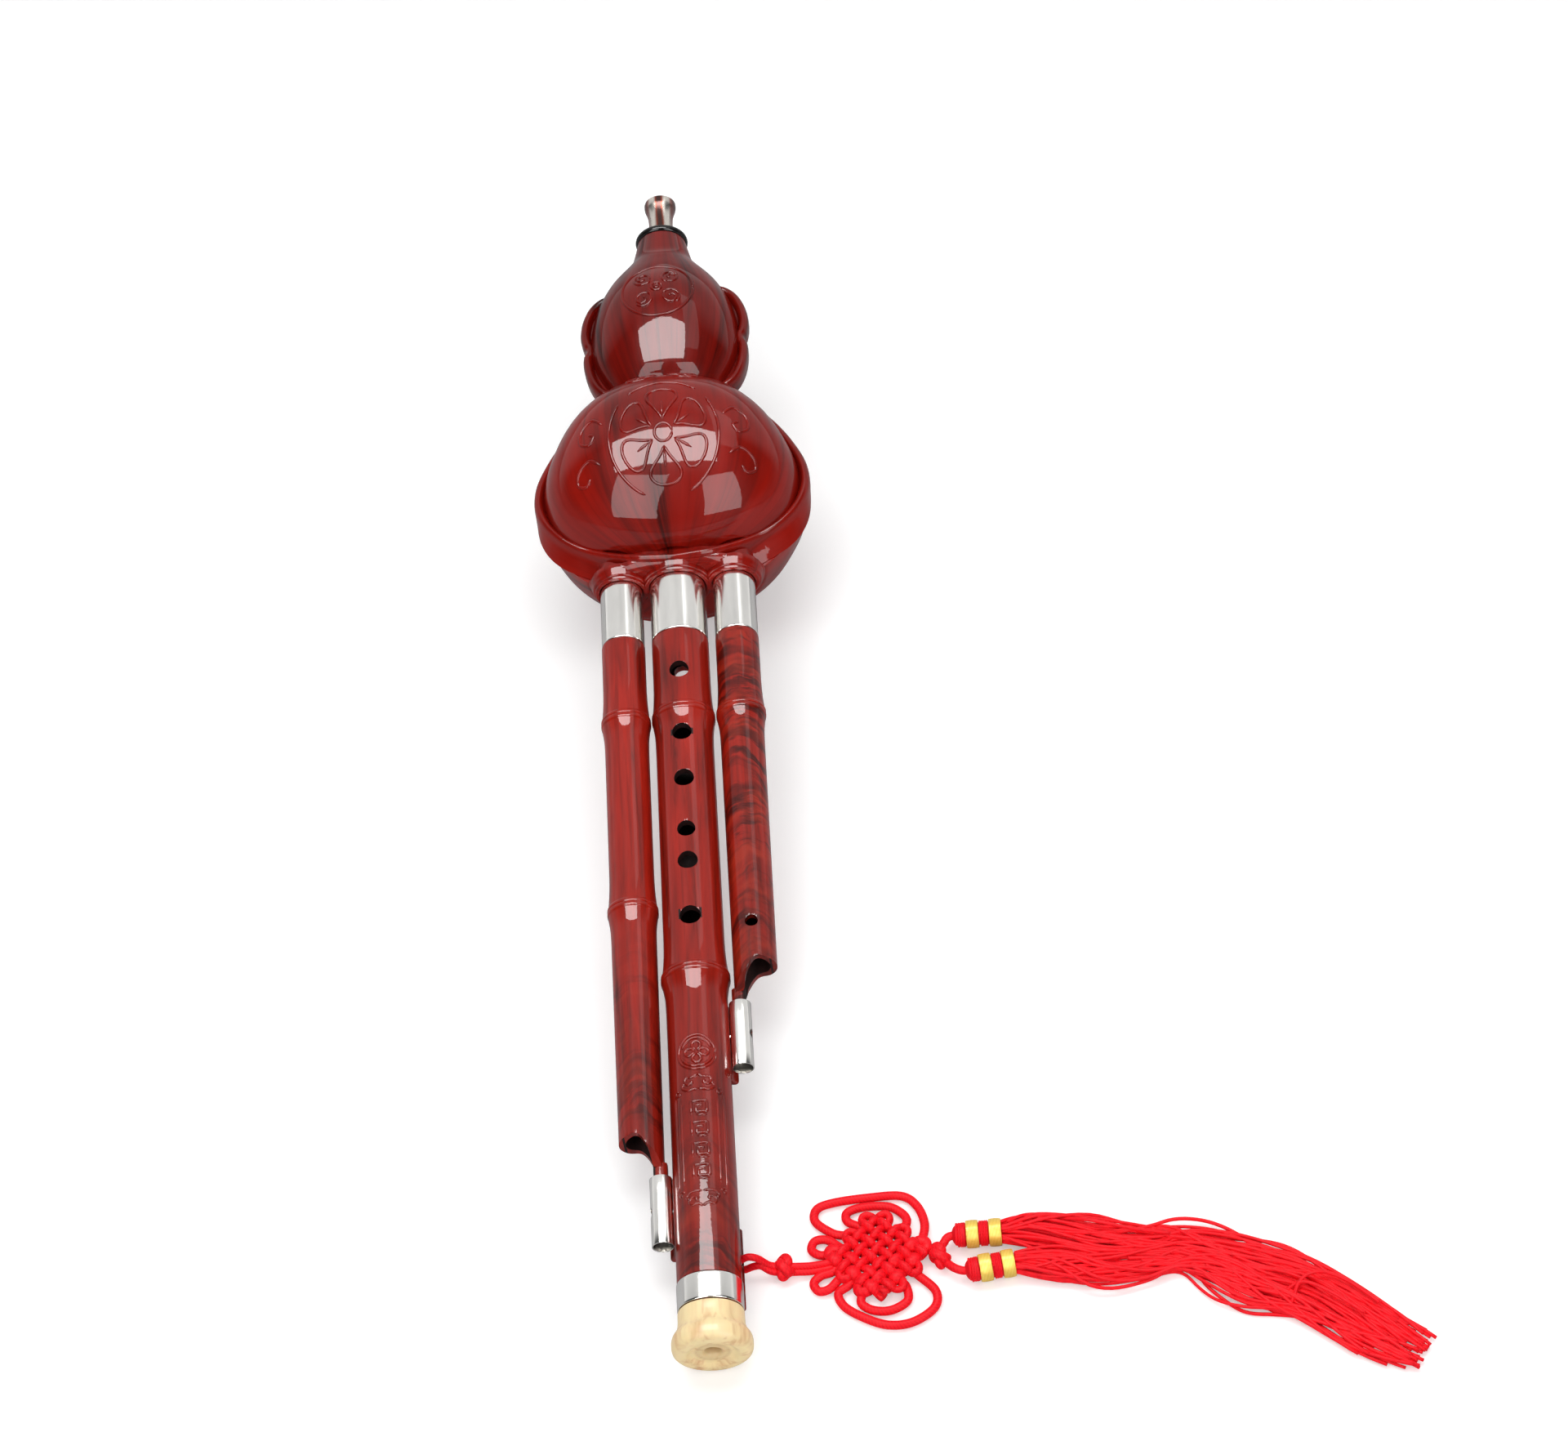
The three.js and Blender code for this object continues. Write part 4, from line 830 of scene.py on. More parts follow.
def spread(piece):
    """Lets the wall under the bead run out to the back's wider foot, and ends it at the seam."""
    for vertex in piece.data.vertices:
        x, y, z = vertex.co / MM
        if y < 336 and z < 6:
            out = 5.2 * (1 - eased(y, 312, 336)) * (1 - eased(z, -0.5, 6.5)) * eased(abs(x), 4, 26)
            lean = Vector((x, (y - 345) * 0.9)).normalized()
            x, y = x + lean.x * out, y + lean.y * out
        vertex.co = Vector((x, y, max(z, 0.15))) * MM


# The photograph's camera: lens and sensor in millimetres, place in metres, and its right, up and back directions
CAMERA_LENS = 93.0677
CAMERA_SENSOR = 36
CAMERA_PLACE = (0.099063, -0.900537, 1.101965)
CAMERA_AXES = [(0.99442, -0.043052, -0.096309), (0.094887, 0.763974, 0.638232), (0.046101, -0.643809, 0.763796)]


class PlaceCamera(bpy.types.Operator):
    """Sets the camera at the photograph's view"""
    bl_idname = "hulusi.camera"
    bl_label = "Camera"

    def execute(self, context):
        data = bpy.data.cameras.new("camera")
        data.lens = CAMERA_LENS
        data.sensor_width = CAMERA_SENSOR
        data.clip_end = 50
        camera = bpy.data.objects.new("camera", data)
        context.scene.collection.objects.link(camera)
        turn = Matrix(CAMERA_AXES).transposed().to_4x4()
        camera.matrix_world = Matrix.Translation(CAMERA_PLACE) @ turn
        context.scene.camera = camera
        return {"FINISHED"}


# Cord routes in millimetres, on the surface that the instrument lies on
HANGING = [
    (9.75, -201.47, 8.16), (11.6, -201.6, 9.4), (13.6, -201.7, 9.3), (15.5, -201.8, 7.9), (17.1, -202.1, 6.1),
    (18.9, -202.4, 4.6), (23.1, -202.6, 3.6), (27.6, -202.7, 3.2), (31.5, -202.5, 2.6), (35.4, -202.2, 2.6),
    (37.4, -202, 2.8), (41.2, -201.8, 3.1),
]
LOOPS = {
    "upper_outer_loop": [
        (45.2, -193.3, 1.8), (43.5, -191.7, 1.8), (38.9, -190, 1.6), (33.6, -184.9, 1.4), (34.4, -180.2, 1.4),
        (40.2, -178.3, 1.4), (51, -177.6, 1.4), (61.6, -178, 1.4), (66.6, -182.4, 1.4), (68.6, -189.6, 1.6),
        (67.2, -195.9, 1.8), (65.4, -197.7, 1.8),
    ],
    "upper_inner_loop": [
        (48.6, -189.8, 1.8), (47.2, -188.4, 1.8), (43.9, -186, 1.6), (43.8, -182.9, 1.4), (47.2, -181.3, 1.4),
        (53, -181, 1.4), (58.6, -182.2, 1.4), (62.8, -186.6, 1.6), (62, -191, 1.8), (60.3, -192.7, 1.8),
    ],
    "lower_outer_loop": [
        (44.6, -208.7, 1.8), (42.7, -210.4, 1.8), (39.6, -212.8, 1.6), (41.4, -217.6, 1.4), (47.3, -222.2, 1.4),
        (54.6, -225.6, 1.4), (62.4, -225.4, 1.4), (69.6, -220.9, 1.4), (70.6, -215, 1.6), (65.6, -208.9, 1.8),
        (63.5, -206.8, 1.8),
    ],
    "lower_inner_loop": [
        (48.5, -212.7, 1.8), (47.1, -214.2, 1.8), (46.9, -217.3, 1.6), (50.6, -219.9, 1.4), (56.2, -220.3, 1.4),
        (61.4, -217.4, 1.6), (61.3, -212.4, 1.8), (59.6, -210.7, 1.8),
    ],
    "upper_ear_loop": [
        (39.4, -199.1, 2.2), (38, -198.1, 2.1), (34.6, -198, 1.8), (31.9, -195.6, 1.5), (33.1, -192.4, 1.5),
        (36.9, -192.4, 1.8), (40.4, -195.3, 2.1), (41.8, -196.7, 2.2),
    ],
    "lower_ear_loop": [
        (39.4, -203.6, 2.2), (38, -204.9, 2.1), (34.4, -205.7, 1.8), (32, -208.1, 1.5), (33.5, -211.1, 1.5),
        (36.9, -210.8, 1.8), (40.3, -207.5, 2.1), (41.9, -205.9, 2.2),
    ],
}
TASSEL_CORDS = {
    "upper": [(72.6, -201.2, 3.8), (74.4, -198.8, 4.2), (75.1, -197.8, 4.5), (76.3, -197, 4.6), (78.5, -196.7, 4.5)],
    "lower": [(74.2, -205.3, 3.8), (75.5, -207.1, 4), (77.2, -208.9, 4.5), (79.6, -210.1, 4.6), (81.8, -210.1, 4.5)],
}
FIRST_KNOT = (23.1, -202.6, 3.8)
SECOND_KNOT = (72.6, -203.3, 3.8)
KNOT_REACH = 3.3
WEAVE_CENTRE = (53.1, -201.3, 3.3)
WEAVE_REACH = 15.2
HEADS = {"upper": ((77.3, -196.7), (92.2, -196.9)), "lower": ((80.6, -210.2), (95.8, -208.7))}
HEAD_LEVEL = 4.45
SKIRTS = {
    "upper": [
        (92.5, -196.9, 4.2, 8.6), (104, -197.4, 6.8, 7.4), (125, -202.9, 6.9, 5.6), (140, -205, 6.2, 5),
        (150, -205.6, 5.8, 4.8), (162, -208.8, 5.9, 4.8), (176, -215.4, 6.2, 4.6), (190, -223.6, 6, 4.2),
        (207, -238.4, 5.6, 3.8), (221, -250.8, 4.6, 3.2),
    ],
    "lower": [
        (96.1, -208.7, 4.2, 8.6), (108, -210.2, 6.6, 7), (122, -212.8, 6.7, 5.4), (136, -213, 6, 4.8),
        (148, -212.2, 5.4, 4.8), (158, -216.4, 5.6, 4.8), (170, -224, 6.3, 4.6), (185, -231.6, 6.1, 4.2),
        (203, -246, 5.6, 3.8), (218, -256.4, 4.6, 3.2),
    ],
}
STRAYS = {
    "upper": [
        [
            (95, -195, 7.2), (100, -192.6, 6.2), (105, -191.6, 4.4), (110, -192.8, 3.2), (115, -194.6, 5),
            (121, -197, 7), (128, -199.4, 7), (136, -201.6, 6.2), (146, -203, 4.6),
        ],
    ],
    "lower": [
        [
            (132, -210.5, 4), (140, -211.4, 4.2), (146, -212, 3.6), (151.6, -214.9, 2.2), (156.1, -222, 1),
            (162.9, -229.4, 0.8), (168, -232.5, 0.75), (175.3, -233.8, 0.75), (182.8, -235.4, 0.9),
            (190, -238.4, 2), (198, -243.4, 3.4),
        ],
        [
            (136, -212, 4), (143, -212.4, 3.6), (149.3, -214.8, 1.8), (157, -219.4, 0.9), (161.5, -222.4, 0.8),
            (166, -226.5, 0.75), (170.7, -229.4, 0.75), (177.1, -229.4, 1.2), (181.3, -226.4, 4.2),
            (186.3, -226.2, 6), (194, -231, 6), (203, -238.5, 5),
        ],
        [
            (156, -216, 4.6), (163, -220.4, 3), (168.9, -225.4, 1.2), (174.2, -231.8, 0.8), (179.1, -233.2, 1),
            (181.9, -229.6, 3.4), (183.9, -226, 5.6), (187.6, -223.4, 6.2), (193, -223.4, 6),
            (200, -227.4, 5.4), (208, -235, 4.6),
        ],
    ],
}


def knot_routes(centre, reach, radius, turn, height=0.75):
    """A doubled cord drawn up into a round knot."""
    routes = []
    for offset in (-0.55, 0.55):
        path = []
        for step in range(96):
            t = 2 * math.pi * step / 96
            ring = 2 + math.cos(3 * t)
            point = Vector((
                math.sin(3 * t) * 1.25 + offset * 0.5,
                ring * math.cos(2 * t) + offset * 0.35,
                ring * math.sin(2 * t) * height,
            )) * reach * MM / 3
            point.rotate(Matrix.Rotation(turn, 3, "Z"))
            path.append(Vector(centre) * MM + point)
        routes.append({"path": path, "radius": radius, "sides": 12, "closed": True})
    return routes


def weave_routes(radius):
    """Two sets of diagonals that pass over and under each other, joined by small turns outside the diamond."""
    routes = []
    lines = 6
    half = WEAVE_REACH * MM / math.sqrt(2) - radius * 0.5
    spacing = 2 * half / (lines - 1)
    lift = radius * 0.56
    for set_index in (0, 1):
        path, levels = [], []
        for line in range(lines):
            across = -half + line * spacing
            steps = 60
            order = range(steps + 1) if line % 2 == 0 else range(steps, -1, -1)
            for step in order:
                along = (-half - radius * 0.7) + (2 * half + radius * 1.4) * step / steps
                cell = (along + half) / spacing
                wave = math.cos(math.pi * cell) * (1 if (line + set_index) % 2 == 0 else -1)
                level = lift * max(-1, min(1, 1.35 * wave))
                if (line == 0 and step < 6) or (line == lines - 1 and step > steps - 6):
                    level = -lift
                pair = (along, across) if set_index == 0 else (across, along)
                path.append((pair[0], pair[1], level))
                levels.append(level / lift)
            if line < lines - 1:
                end = 1 if line % 2 == 0 else -1
                for step in range(1, 12):
                    angle = math.pi * step / 12
                    bulge = (half + radius * 0.7 + spacing * 0.62 * math.sin(angle)) * end
                    place = across + spacing * (1 - math.cos(angle)) / 2
                    pair = (bulge, place) if set_index == 0 else (place, bulge)
                    path.append((pair[0], pair[1], 0.0))
                    levels.append(0.0)
        turned_path = []
        for x, y, level in path:
            point = Vector((x, y, 0))
            point.rotate(Matrix.Rotation(math.pi / 4, 3, "Z"))
            turned_path.append(Vector(WEAVE_CENTRE) * MM + Vector((point.x, point.y, level)))
        plump = lambda t, levels=levels: radius * (0.94 + 0.1 * levels[round(t * (len(levels) - 1))])
        routes.append({"path": turned_path, "radius": plump, "sides": 14, "flat": 0.66})
    return routes


def route(points, shift=(0, 0, 0)):
    """A route in metres."""
    return [tuple((a + b) * MM for a, b in zip(point, shift)) for point in points]


def woven(name, routes, stands_for, maker=red_cord):
    """Strands that ride on the melody pipe."""
    piece = strands(name, routes)
    return finished(piece, name, "melody_pipe", finish(maker), stands_for, laid=False, angle=0)


class MakeCord(bpy.types.Operator):
    """The doubled cord from the lug, its knots, the woven endless knot and its loops"""
    bl_idname = "hulusi.cord"
    bl_label = "Cord and knots"

    def execute(self, context):
        radius = sizes().cord / 2
        thin = radius * 0.96
        lug = (8.3, -201.36, 6.86)
        front = route([lug, (9.4, -201.3, 8.1)]) + route(HANGING[1:], (0, 0.2, 0.4))
        back = route([
            lug, (7.1, -201.4, 5.5), (7.8, -201.6, 3.8), (10.3, -201.9, 3.5), (13.3, -202.1, 5.2),
            (15.8, -202.4, 5.6),
        ]) + route(HANGING[5:], (0, -1.2, -0.8))
        path = smooth(front, 10)
        both = ["hanging_cord", "link_cord"]
        cord = woven("cord_front", [{"path": path, "radius": thin, "sides": 14}], both)
        knots = [woven("cord_back", [{"path": smooth(back, 10), "radius": thin, "sides": 14}], both)]
        for name, node, centre, turn in (
            ("cord_knot", "first_knot", FIRST_KNOT, 0.15), ("tassel_knot", "second_knot", SECOND_KNOT, 0.5)
        ):
            knots.append(woven(name, knot_routes(centre, KNOT_REACH, radius * 1.05, turn), [node]))
        knots.append(woven("woven_knot", weave_routes(radius * 1.56), ["endless_knot"]))
        for node, points in LOOPS.items():
            loop = {"path": smooth(route(points), 8), "radius": radius * 1.16, "sides": 16}
            knots.append(woven(node + "_cord", [loop], [node]))
        return {"FINISHED"}


def laid_head(piece, name):
    (x0, y0), (x1, y1) = HEADS[name]
    turn = math.atan2(y1 - y0, x1 - x0) - math.pi / 2
    piece.matrix_world = Matrix.Translation((x0 * MM, y0 * MM, HEAD_LEVEL * MM)) @ Matrix.Rotation(turn, 4, "Z")
    activate(piece)
    bpy.ops.object.transform_apply(location=True, rotation=True, scale=True)
    return piece


def winding(radius, thread, low, high, start=0.0):
    """A thread wound round a head from low to high, in millimetres."""
    turns = (high - low) / (thread * 1.9)
    steps = int(turns * 28)
    path = []
    for step in range(steps + 1):
        angle = start + 2 * math.pi * turns * step / steps
        place = low + (high - low) * step / steps
        path.append(Vector((radius * math.cos(angle), place, radius * math.sin(angle))) * MM)
    return {"path": path, "radius": thread * MM, "sides": 8}


class MakeTassels(bpy.types.Operator):
    """Tassel cords, heads with thread winding and gold bands, and skirts of loose strands"""
    bl_idname = "hulusi.tassels"
    bl_label = "Tassels"

    def head(self, name):
        cap = turned(name + "_head_core", rounded([
            (-0.2, 0), (-0.2, 1.5), (0.3, 2.6), (1.4, 3.5), (3, 3.95), (4, 3.9), (4, 3.6), (15, 3.6), (15, 0)
        ], 0.5, 3), 40)
        threads = strands(name + "_head_threads", [
            winding(3.55, 0.42, 1.1, 3.9), winding(3.85, 0.3, 8.7, 11.2, 1),
        ])
        activate(cap, threads)
        bpy.ops.object.join()
        cap = laid_head(cap, name)
        finished(
            cap, name + "_head_wound", "melody_pipe", finish(red_cord), [name + "_tassel_head"],
            laid=False, angle=40,
        )

    def band(self, name, node, low):
        ring = turned(node, rounded([(low + up, out) for up, out in (
            (0.05, 3.9), (0, 4.2), (0.15, 4.38), (1, 4.5), (2, 4.54), (3, 4.5), (3.85, 4.38), (4, 4.2), (3.95, 3.9),
            (0.05, 3.9),
        )], 0.2, 2), 48)
        laid_head(ring, name)
        finished(ring, node + "_wound", "melody_pipe", finish(gold_thread), [node], laid=False)

    def skirt(self, name, seed):
        stations = smooth(SKIRTS[name], 7)
        pick = random.Random(seed)
        radius = sizes().strand / 2
        count = sizes().strands
        routes = []
        last = len(stations) - 1
        for index in range(count):
            distance = math.sqrt((index + 0.5) / count) * 0.97
            angle = index * 2.39996 + pick.uniform(-0.2, 0.2)
            spin = pick.uniform(-1.9, 1.9)
            sway = [(pick.uniform(0.12, 0.4), pick.uniform(0.5, 2.3), pick.uniform(0, 6.28)) for _ in range(3)]
            loose = 1.25 if pick.random() < 0.16 else 1
            end = int(round(last * (1 - 0.13 * pick.random() ** 1.4)))
            path = []
            for place in range(end + 1):
                share = place / last
                x, y, half, height = stations[place]
                x1, y1 = stations[min(place + 1, last)][:2]
                x0, y0 = stations[max(place - 1, 0)][:2]
                heading = math.atan2(y1 - y0, x1 - x0)
                free = min(share * 5, 1)
                swing = sum(a * math.sin(f * 6.28 * share + p) for a, f, p in sway)
                around = angle + spin * share + swing * free * 1.6
                out = distance * (1 + free * (loose - 1) * math.sin(share * 9 + angle))
                wander = sum(a * math.sin(f * 5.1 * share + p * 2) for a, f, p in sway) * free * 0.75
                across = (out * math.cos(around) + wander) * (half - 0.5)
                level = height / 2 + out * math.sin(around) * (height / 2 - 0.6)
                level = max(level, 0.62)
                path.append(Vector((x - across * math.sin(heading), y + across * math.cos(heading), level)) * MM)
            routes.append({"path": path, "radius": radius * pick.uniform(0.86, 1.08), "sides": 8})
        for points in STRAYS[name]:
            routes.append({"path": [Vector(point) * MM for point in smooth(points, 8)], "radius": radius, "sides": 8})
        return routes

    def execute(self, context):
        for name, seed in (("upper", 11), ("lower", 27)):
            cord = {"path": smooth(route(TASSEL_CORDS[name]), 8), "radius": sizes().cord * 0.55, "sides": 14}
            woven(name + "_link", [cord], [name + "_tassel_cord"])
            self.head(name)
            self.band(name, name + "_tassel_top_band", 4.3)
            self.band(name, name + "_tassel_bottom_band", 11.6)
            woven(name + "_strands", self.skirt(name, seed), [name + "_tassel_skirt"], tassel_thread)
        return {"FINISHED"}


class MakeGourdFront(bpy.types.Operator):
    """The domed front with its bead, groove and lobed ears"""
    bl_idname = "hulusi.gourd_front"
    bl_label = "Gourd front"

    def execute(self, context):
        front = shell("dome", [(307.4, 0)] + smooth(DOME, 4), True)
        combine(front, sockets(2.9, SOCKET_TOP + 0.3))
        combine(front, rod(MOUTH_HOLE, (0, 440, 0), (0, 470, 0), 48))
        half = smooth(RIM + [(19, 385), (10, 386.5)], 7)
        path = half[:-1] + [(-x, y) for x, y in reversed(half[:-1]) if x > 0.01]
        rim = bead("rim", path, 8.2, -1, True, 5.8)
        spread(rim)
        combine(rim, sockets(0.4, SOCKET_TOP + 0.3))
        parts = [front, rim]
        for side in (1, -1):
            ear = bead("ear", [(side * x, y) for x, y in smooth(EAR, 6)], 7.6, -side, False)
            spread(ear)
            parts.append(ear)
        activate(*parts)
        bpy.ops.object.join()
        finished(front, "gourd_front", "gourd", finish(gourd_lacquer), ["gourd_front_shell"])
        return {"FINISHED"}


class MakeGourdBack(bpy.types.Operator):
    """The rounder back of the wind chest"""
    bl_idname = "hulusi.gourd_back"
    bl_label = "Gourd back"

    def execute(self, context):
        outline = rounded([(303.5, 0), (303.5, 29.5)] + smooth(BACK, 4)[2:], 1.2, 2)
        back = shell("back", outline, False)
        combine(back, sockets(2.9, SOCKET_TOP + 0.3))
        combine(back, rod(MOUTH_HOLE, (0, 440, 0), (0, 470, 0), 48))
        finished(back, "gourd_back", "gourd", finish(gourd_lacquer), ["gourd_back_shell"])
        return {"FINISHED"}


# A collar's double lip: height over its foot, and distance outside the pipe
LIPS = [
    (0.25, -1), (0, -0.7), (0, -0.15), (0.25, 0.12), (0.75, 0.2), (0.95, 0.25), (1, 0.5), (1.3, 0.8), (1.8, 0.95),
    (2.3, 1.05), (3, 1.2), (3.6, 1.5), (5.7, 1.5), (5.7, -0.75),
]


class MakeSeat(bpy.types.Operator):
    """The foot of the gourd with its three flared, double-lipped collars"""
    bl_idname = "hulusi.pipe_seat"
    bl_label = "Pipe seat"

    def execute(self, context):
        plate = turned("seat", rounded([
            (299.9, 0), (299.8, 25), (300.3, 28), (301.4, 30.3), (303.2, 31.5), (303.4, 30), (303.4, 0)
        ], 1, 3), 128)
        for vertex in plate.data.vertices:
            vertex.co.z *= (13.4 if vertex.co.z > 0 else 25) / 31.5
        for side, outer in ((0, 11.5), (-1, 9.1), (1, 9.1)):
            lips = [(COLLAR_FOOT + up, outer + out) for up, out in LIPS]
            boss = turned("boss", [(COLLAR_FOOT + 1.5, 0)] + lips + [(SOCKET_TOP, outer - 0.75), (SOCKET_TOP, 0)], 96)
            boss.location.x = side * DRONE_SPACING * MM
            activate(boss)
            bpy.ops.object.transform_apply(location=True, rotation=False, scale=False)
            combine(plate, boss, "UNION")
        combine(plate, sockets(0.3, SOCKET_TOP + 2))
        finished(plate, "seat_collars", "gourd", finish(gourd_lacquer), ["pipe_seat"])
        return {"FINISHED"}


class MakeMouthpiece(bpy.types.Operator):
    """The flared mouthpiece tube and its black collar"""
    bl_idname = "hulusi.mouthpiece"
    bl_label = "Mouthpiece"

    def execute(self, context):
        flare = smooth([
            (GASKET_TOP, 4.6), (463.4, 4.5), (466.4, 4.45), (469.4, 4.5), (471.8, 4.72), (473.8, 5.2), (475.4, 5.72),
            (476.6, 5.9),
        ], 4)
        lip = rounded([(477.6, 5.9), (478.4, 5.75), (478.4, 3.1), (477.6, 2.7)], 0.35)
        tube = turned("tube", [(441.5, 2.7), (441.5, 4.3), (441.9, 4.6)] + flare + lip + [(441.5, 2.7)], 72)
        finished(tube, "mouth_tube", "mouthpiece", finish(nickel_painted_reflection), ["mouthpiece"])
        middle = (GASKET_FOOT + GASKET_TOP) / 2
        ring = [(GASKET_FOOT, 4.9)]
        for step in range(13):
            angle = math.pi * step / 12
            ring.append((middle - 1.4 * math.cos(angle), 8.5 + 1.3 * math.sin(angle)))
        ring += [(GASKET_TOP + up, out) for up, out in ((0, 7.6), (-0.35, 6.6), (-0.3, 5.2), (-0.5, 4.9))]
        ring.append((GASKET_FOOT, 4.9))
        collar = turned("collar", ring, 80)
        finished(collar, "black_ring", "gourd", finish(black_gloss), ["mouthpiece_collar"])
        return {"FINISHED"}


def paint_bore_shade(piece, x, radius, holes=()):
    """Gives the faces inside a pipe and its finger holes the near-black bore finish, which is painted shade."""
    piece.data.materials.append(finish(bore_painted_shade))
    level = LAID.inverted()
    for face in piece.data.polygons:
        place = level @ face.center / MM
        inside = math.hypot(place.x - x, place.z) < radius + 0.3
        for middle, reach in holes:
            inside = inside or math.hypot(place.x - x, place.y - middle) < reach + 0.04
        if inside:
            face.material_index = 1


def node_rings(place, radius, crest):
    return [(place + step, radius + share * (crest - radius)) for step, share in NODE_SWELL]


def reed_seat(piece, x, radius, top):
    """The flat and the window under a reed plate."""
    shelf = block((x - radius, top - 27.3, radius - 1.25), (x + radius, top - 4.7, radius + 2))
    combine(piece, shelf)
    return combine(piece, block((x - 1.6, top - 24, 0), (x + 1.6, top - 8, radius + 2)))


class MakeMainPipe(bpy.types.Operator):
    """The melody pipe with nodes, finger holes, sleeve ribs and cord lug"""
    bl_idname = "hulusi.main_pipe"
    bl_label = "Melody pipe"

    def rib(self, side, top):
        inner, outer = 9.2, 12.4
        low, high = sorted((side * inner, side * outer))
        bar = block((low, top - 28, -4.6), (high, top, 1.2))
        soften(bar, 0.0013, 30, 4)
        cradle = rod(SLEEVE_RADIUS + 0.3, (side * SLEEVE_OFFSET, top - 30, 0), (side * SLEEVE_OFFSET, top + 2, 0), 48)
        return combine(bar, cradle)

    def lug(self):
        bar = block((7.6, 19, -1.6), (14.4, 48, 1.6))
        soften(bar, 0.0009, 30, 3)
        combine(bar, rod(1.5, (12.4, 35.82, -4), (12.4, 35.82, 4), 32))
        bar.matrix_world = Matrix.Rotation(math.radians(48), 4, "Y") @ bar.matrix_world
        activate(bar)
        bpy.ops.object.transform_apply(location=True, rotation=True, scale=True)
        return bar

    def execute(self, context):
        foot = [(PIPE_FOOT, 9.9), (24.5, 9.9), (24.5, 10.4), (60, 10.32), (112, 10.2)]
        nodes = node_rings(MAIN_NODES[0], 10.2, 11.5) + node_rings(MAIN_NODES[1], 9.98, 10.95)
        tenon = [(273.1, 9.95), (273.6, 9.75), (273.6, MAIN_TENON), (MAIN_TOP - 0.4, MAIN_TENON), (MAIN_TOP, 8.7)]
        bore = [(MAIN_TOP - 3, 0), (MAIN_TOP - 3, MAIN_BORE), (PIPE_FOOT, MAIN_BORE)]
        pipe = turned("melody", ringed(bore + foot + nodes + tenon + [(MAIN_TOP, 0)], 4), 80)
        for place, radius in FINGER_HOLES:
            combine(pipe, rod(radius, (0, place, 0), (0, place, 20)))
        place, radius = THUMB_HOLE
        combine(pipe, rod(radius, (0, place, 0), (0, place, -20)))
        for name, side in DRONE_SIDES.items():
            combine(pipe, self.rib(side, SLEEVE_TOPS[name]), "UNION")
        combine(pipe, self.lug(), "UNION")
        for name, side in DRONE_SIDES.items():
            place = SLEEVE_TOPS[name] - SLEEVE_LENGTH / 2
            combine(pipe, rod(1.1, (side * 3.5, place, 0), (side * SLEEVE_OFFSET, place, 0), 24))
        combine(pipe, rod(MAIN_BORE, (0, PIPE_FOOT - 2, 0), (0, MAIN_TOP - 3.1, 0), 80))
        reed_seat(pipe, 0, MAIN_TENON, MAIN_TOP)
        soften(pipe, sizes().edge, 50)
        red = finish(pipe_lacquer)
        finished(pipe, "melody_body", "melody_pipe", red, ["main_pipe"], angle=32, even=True)
        paint_bore_shade(pipe, 0, MAIN_BORE, FINGER_HOLES)
        return {"FINISHED"}


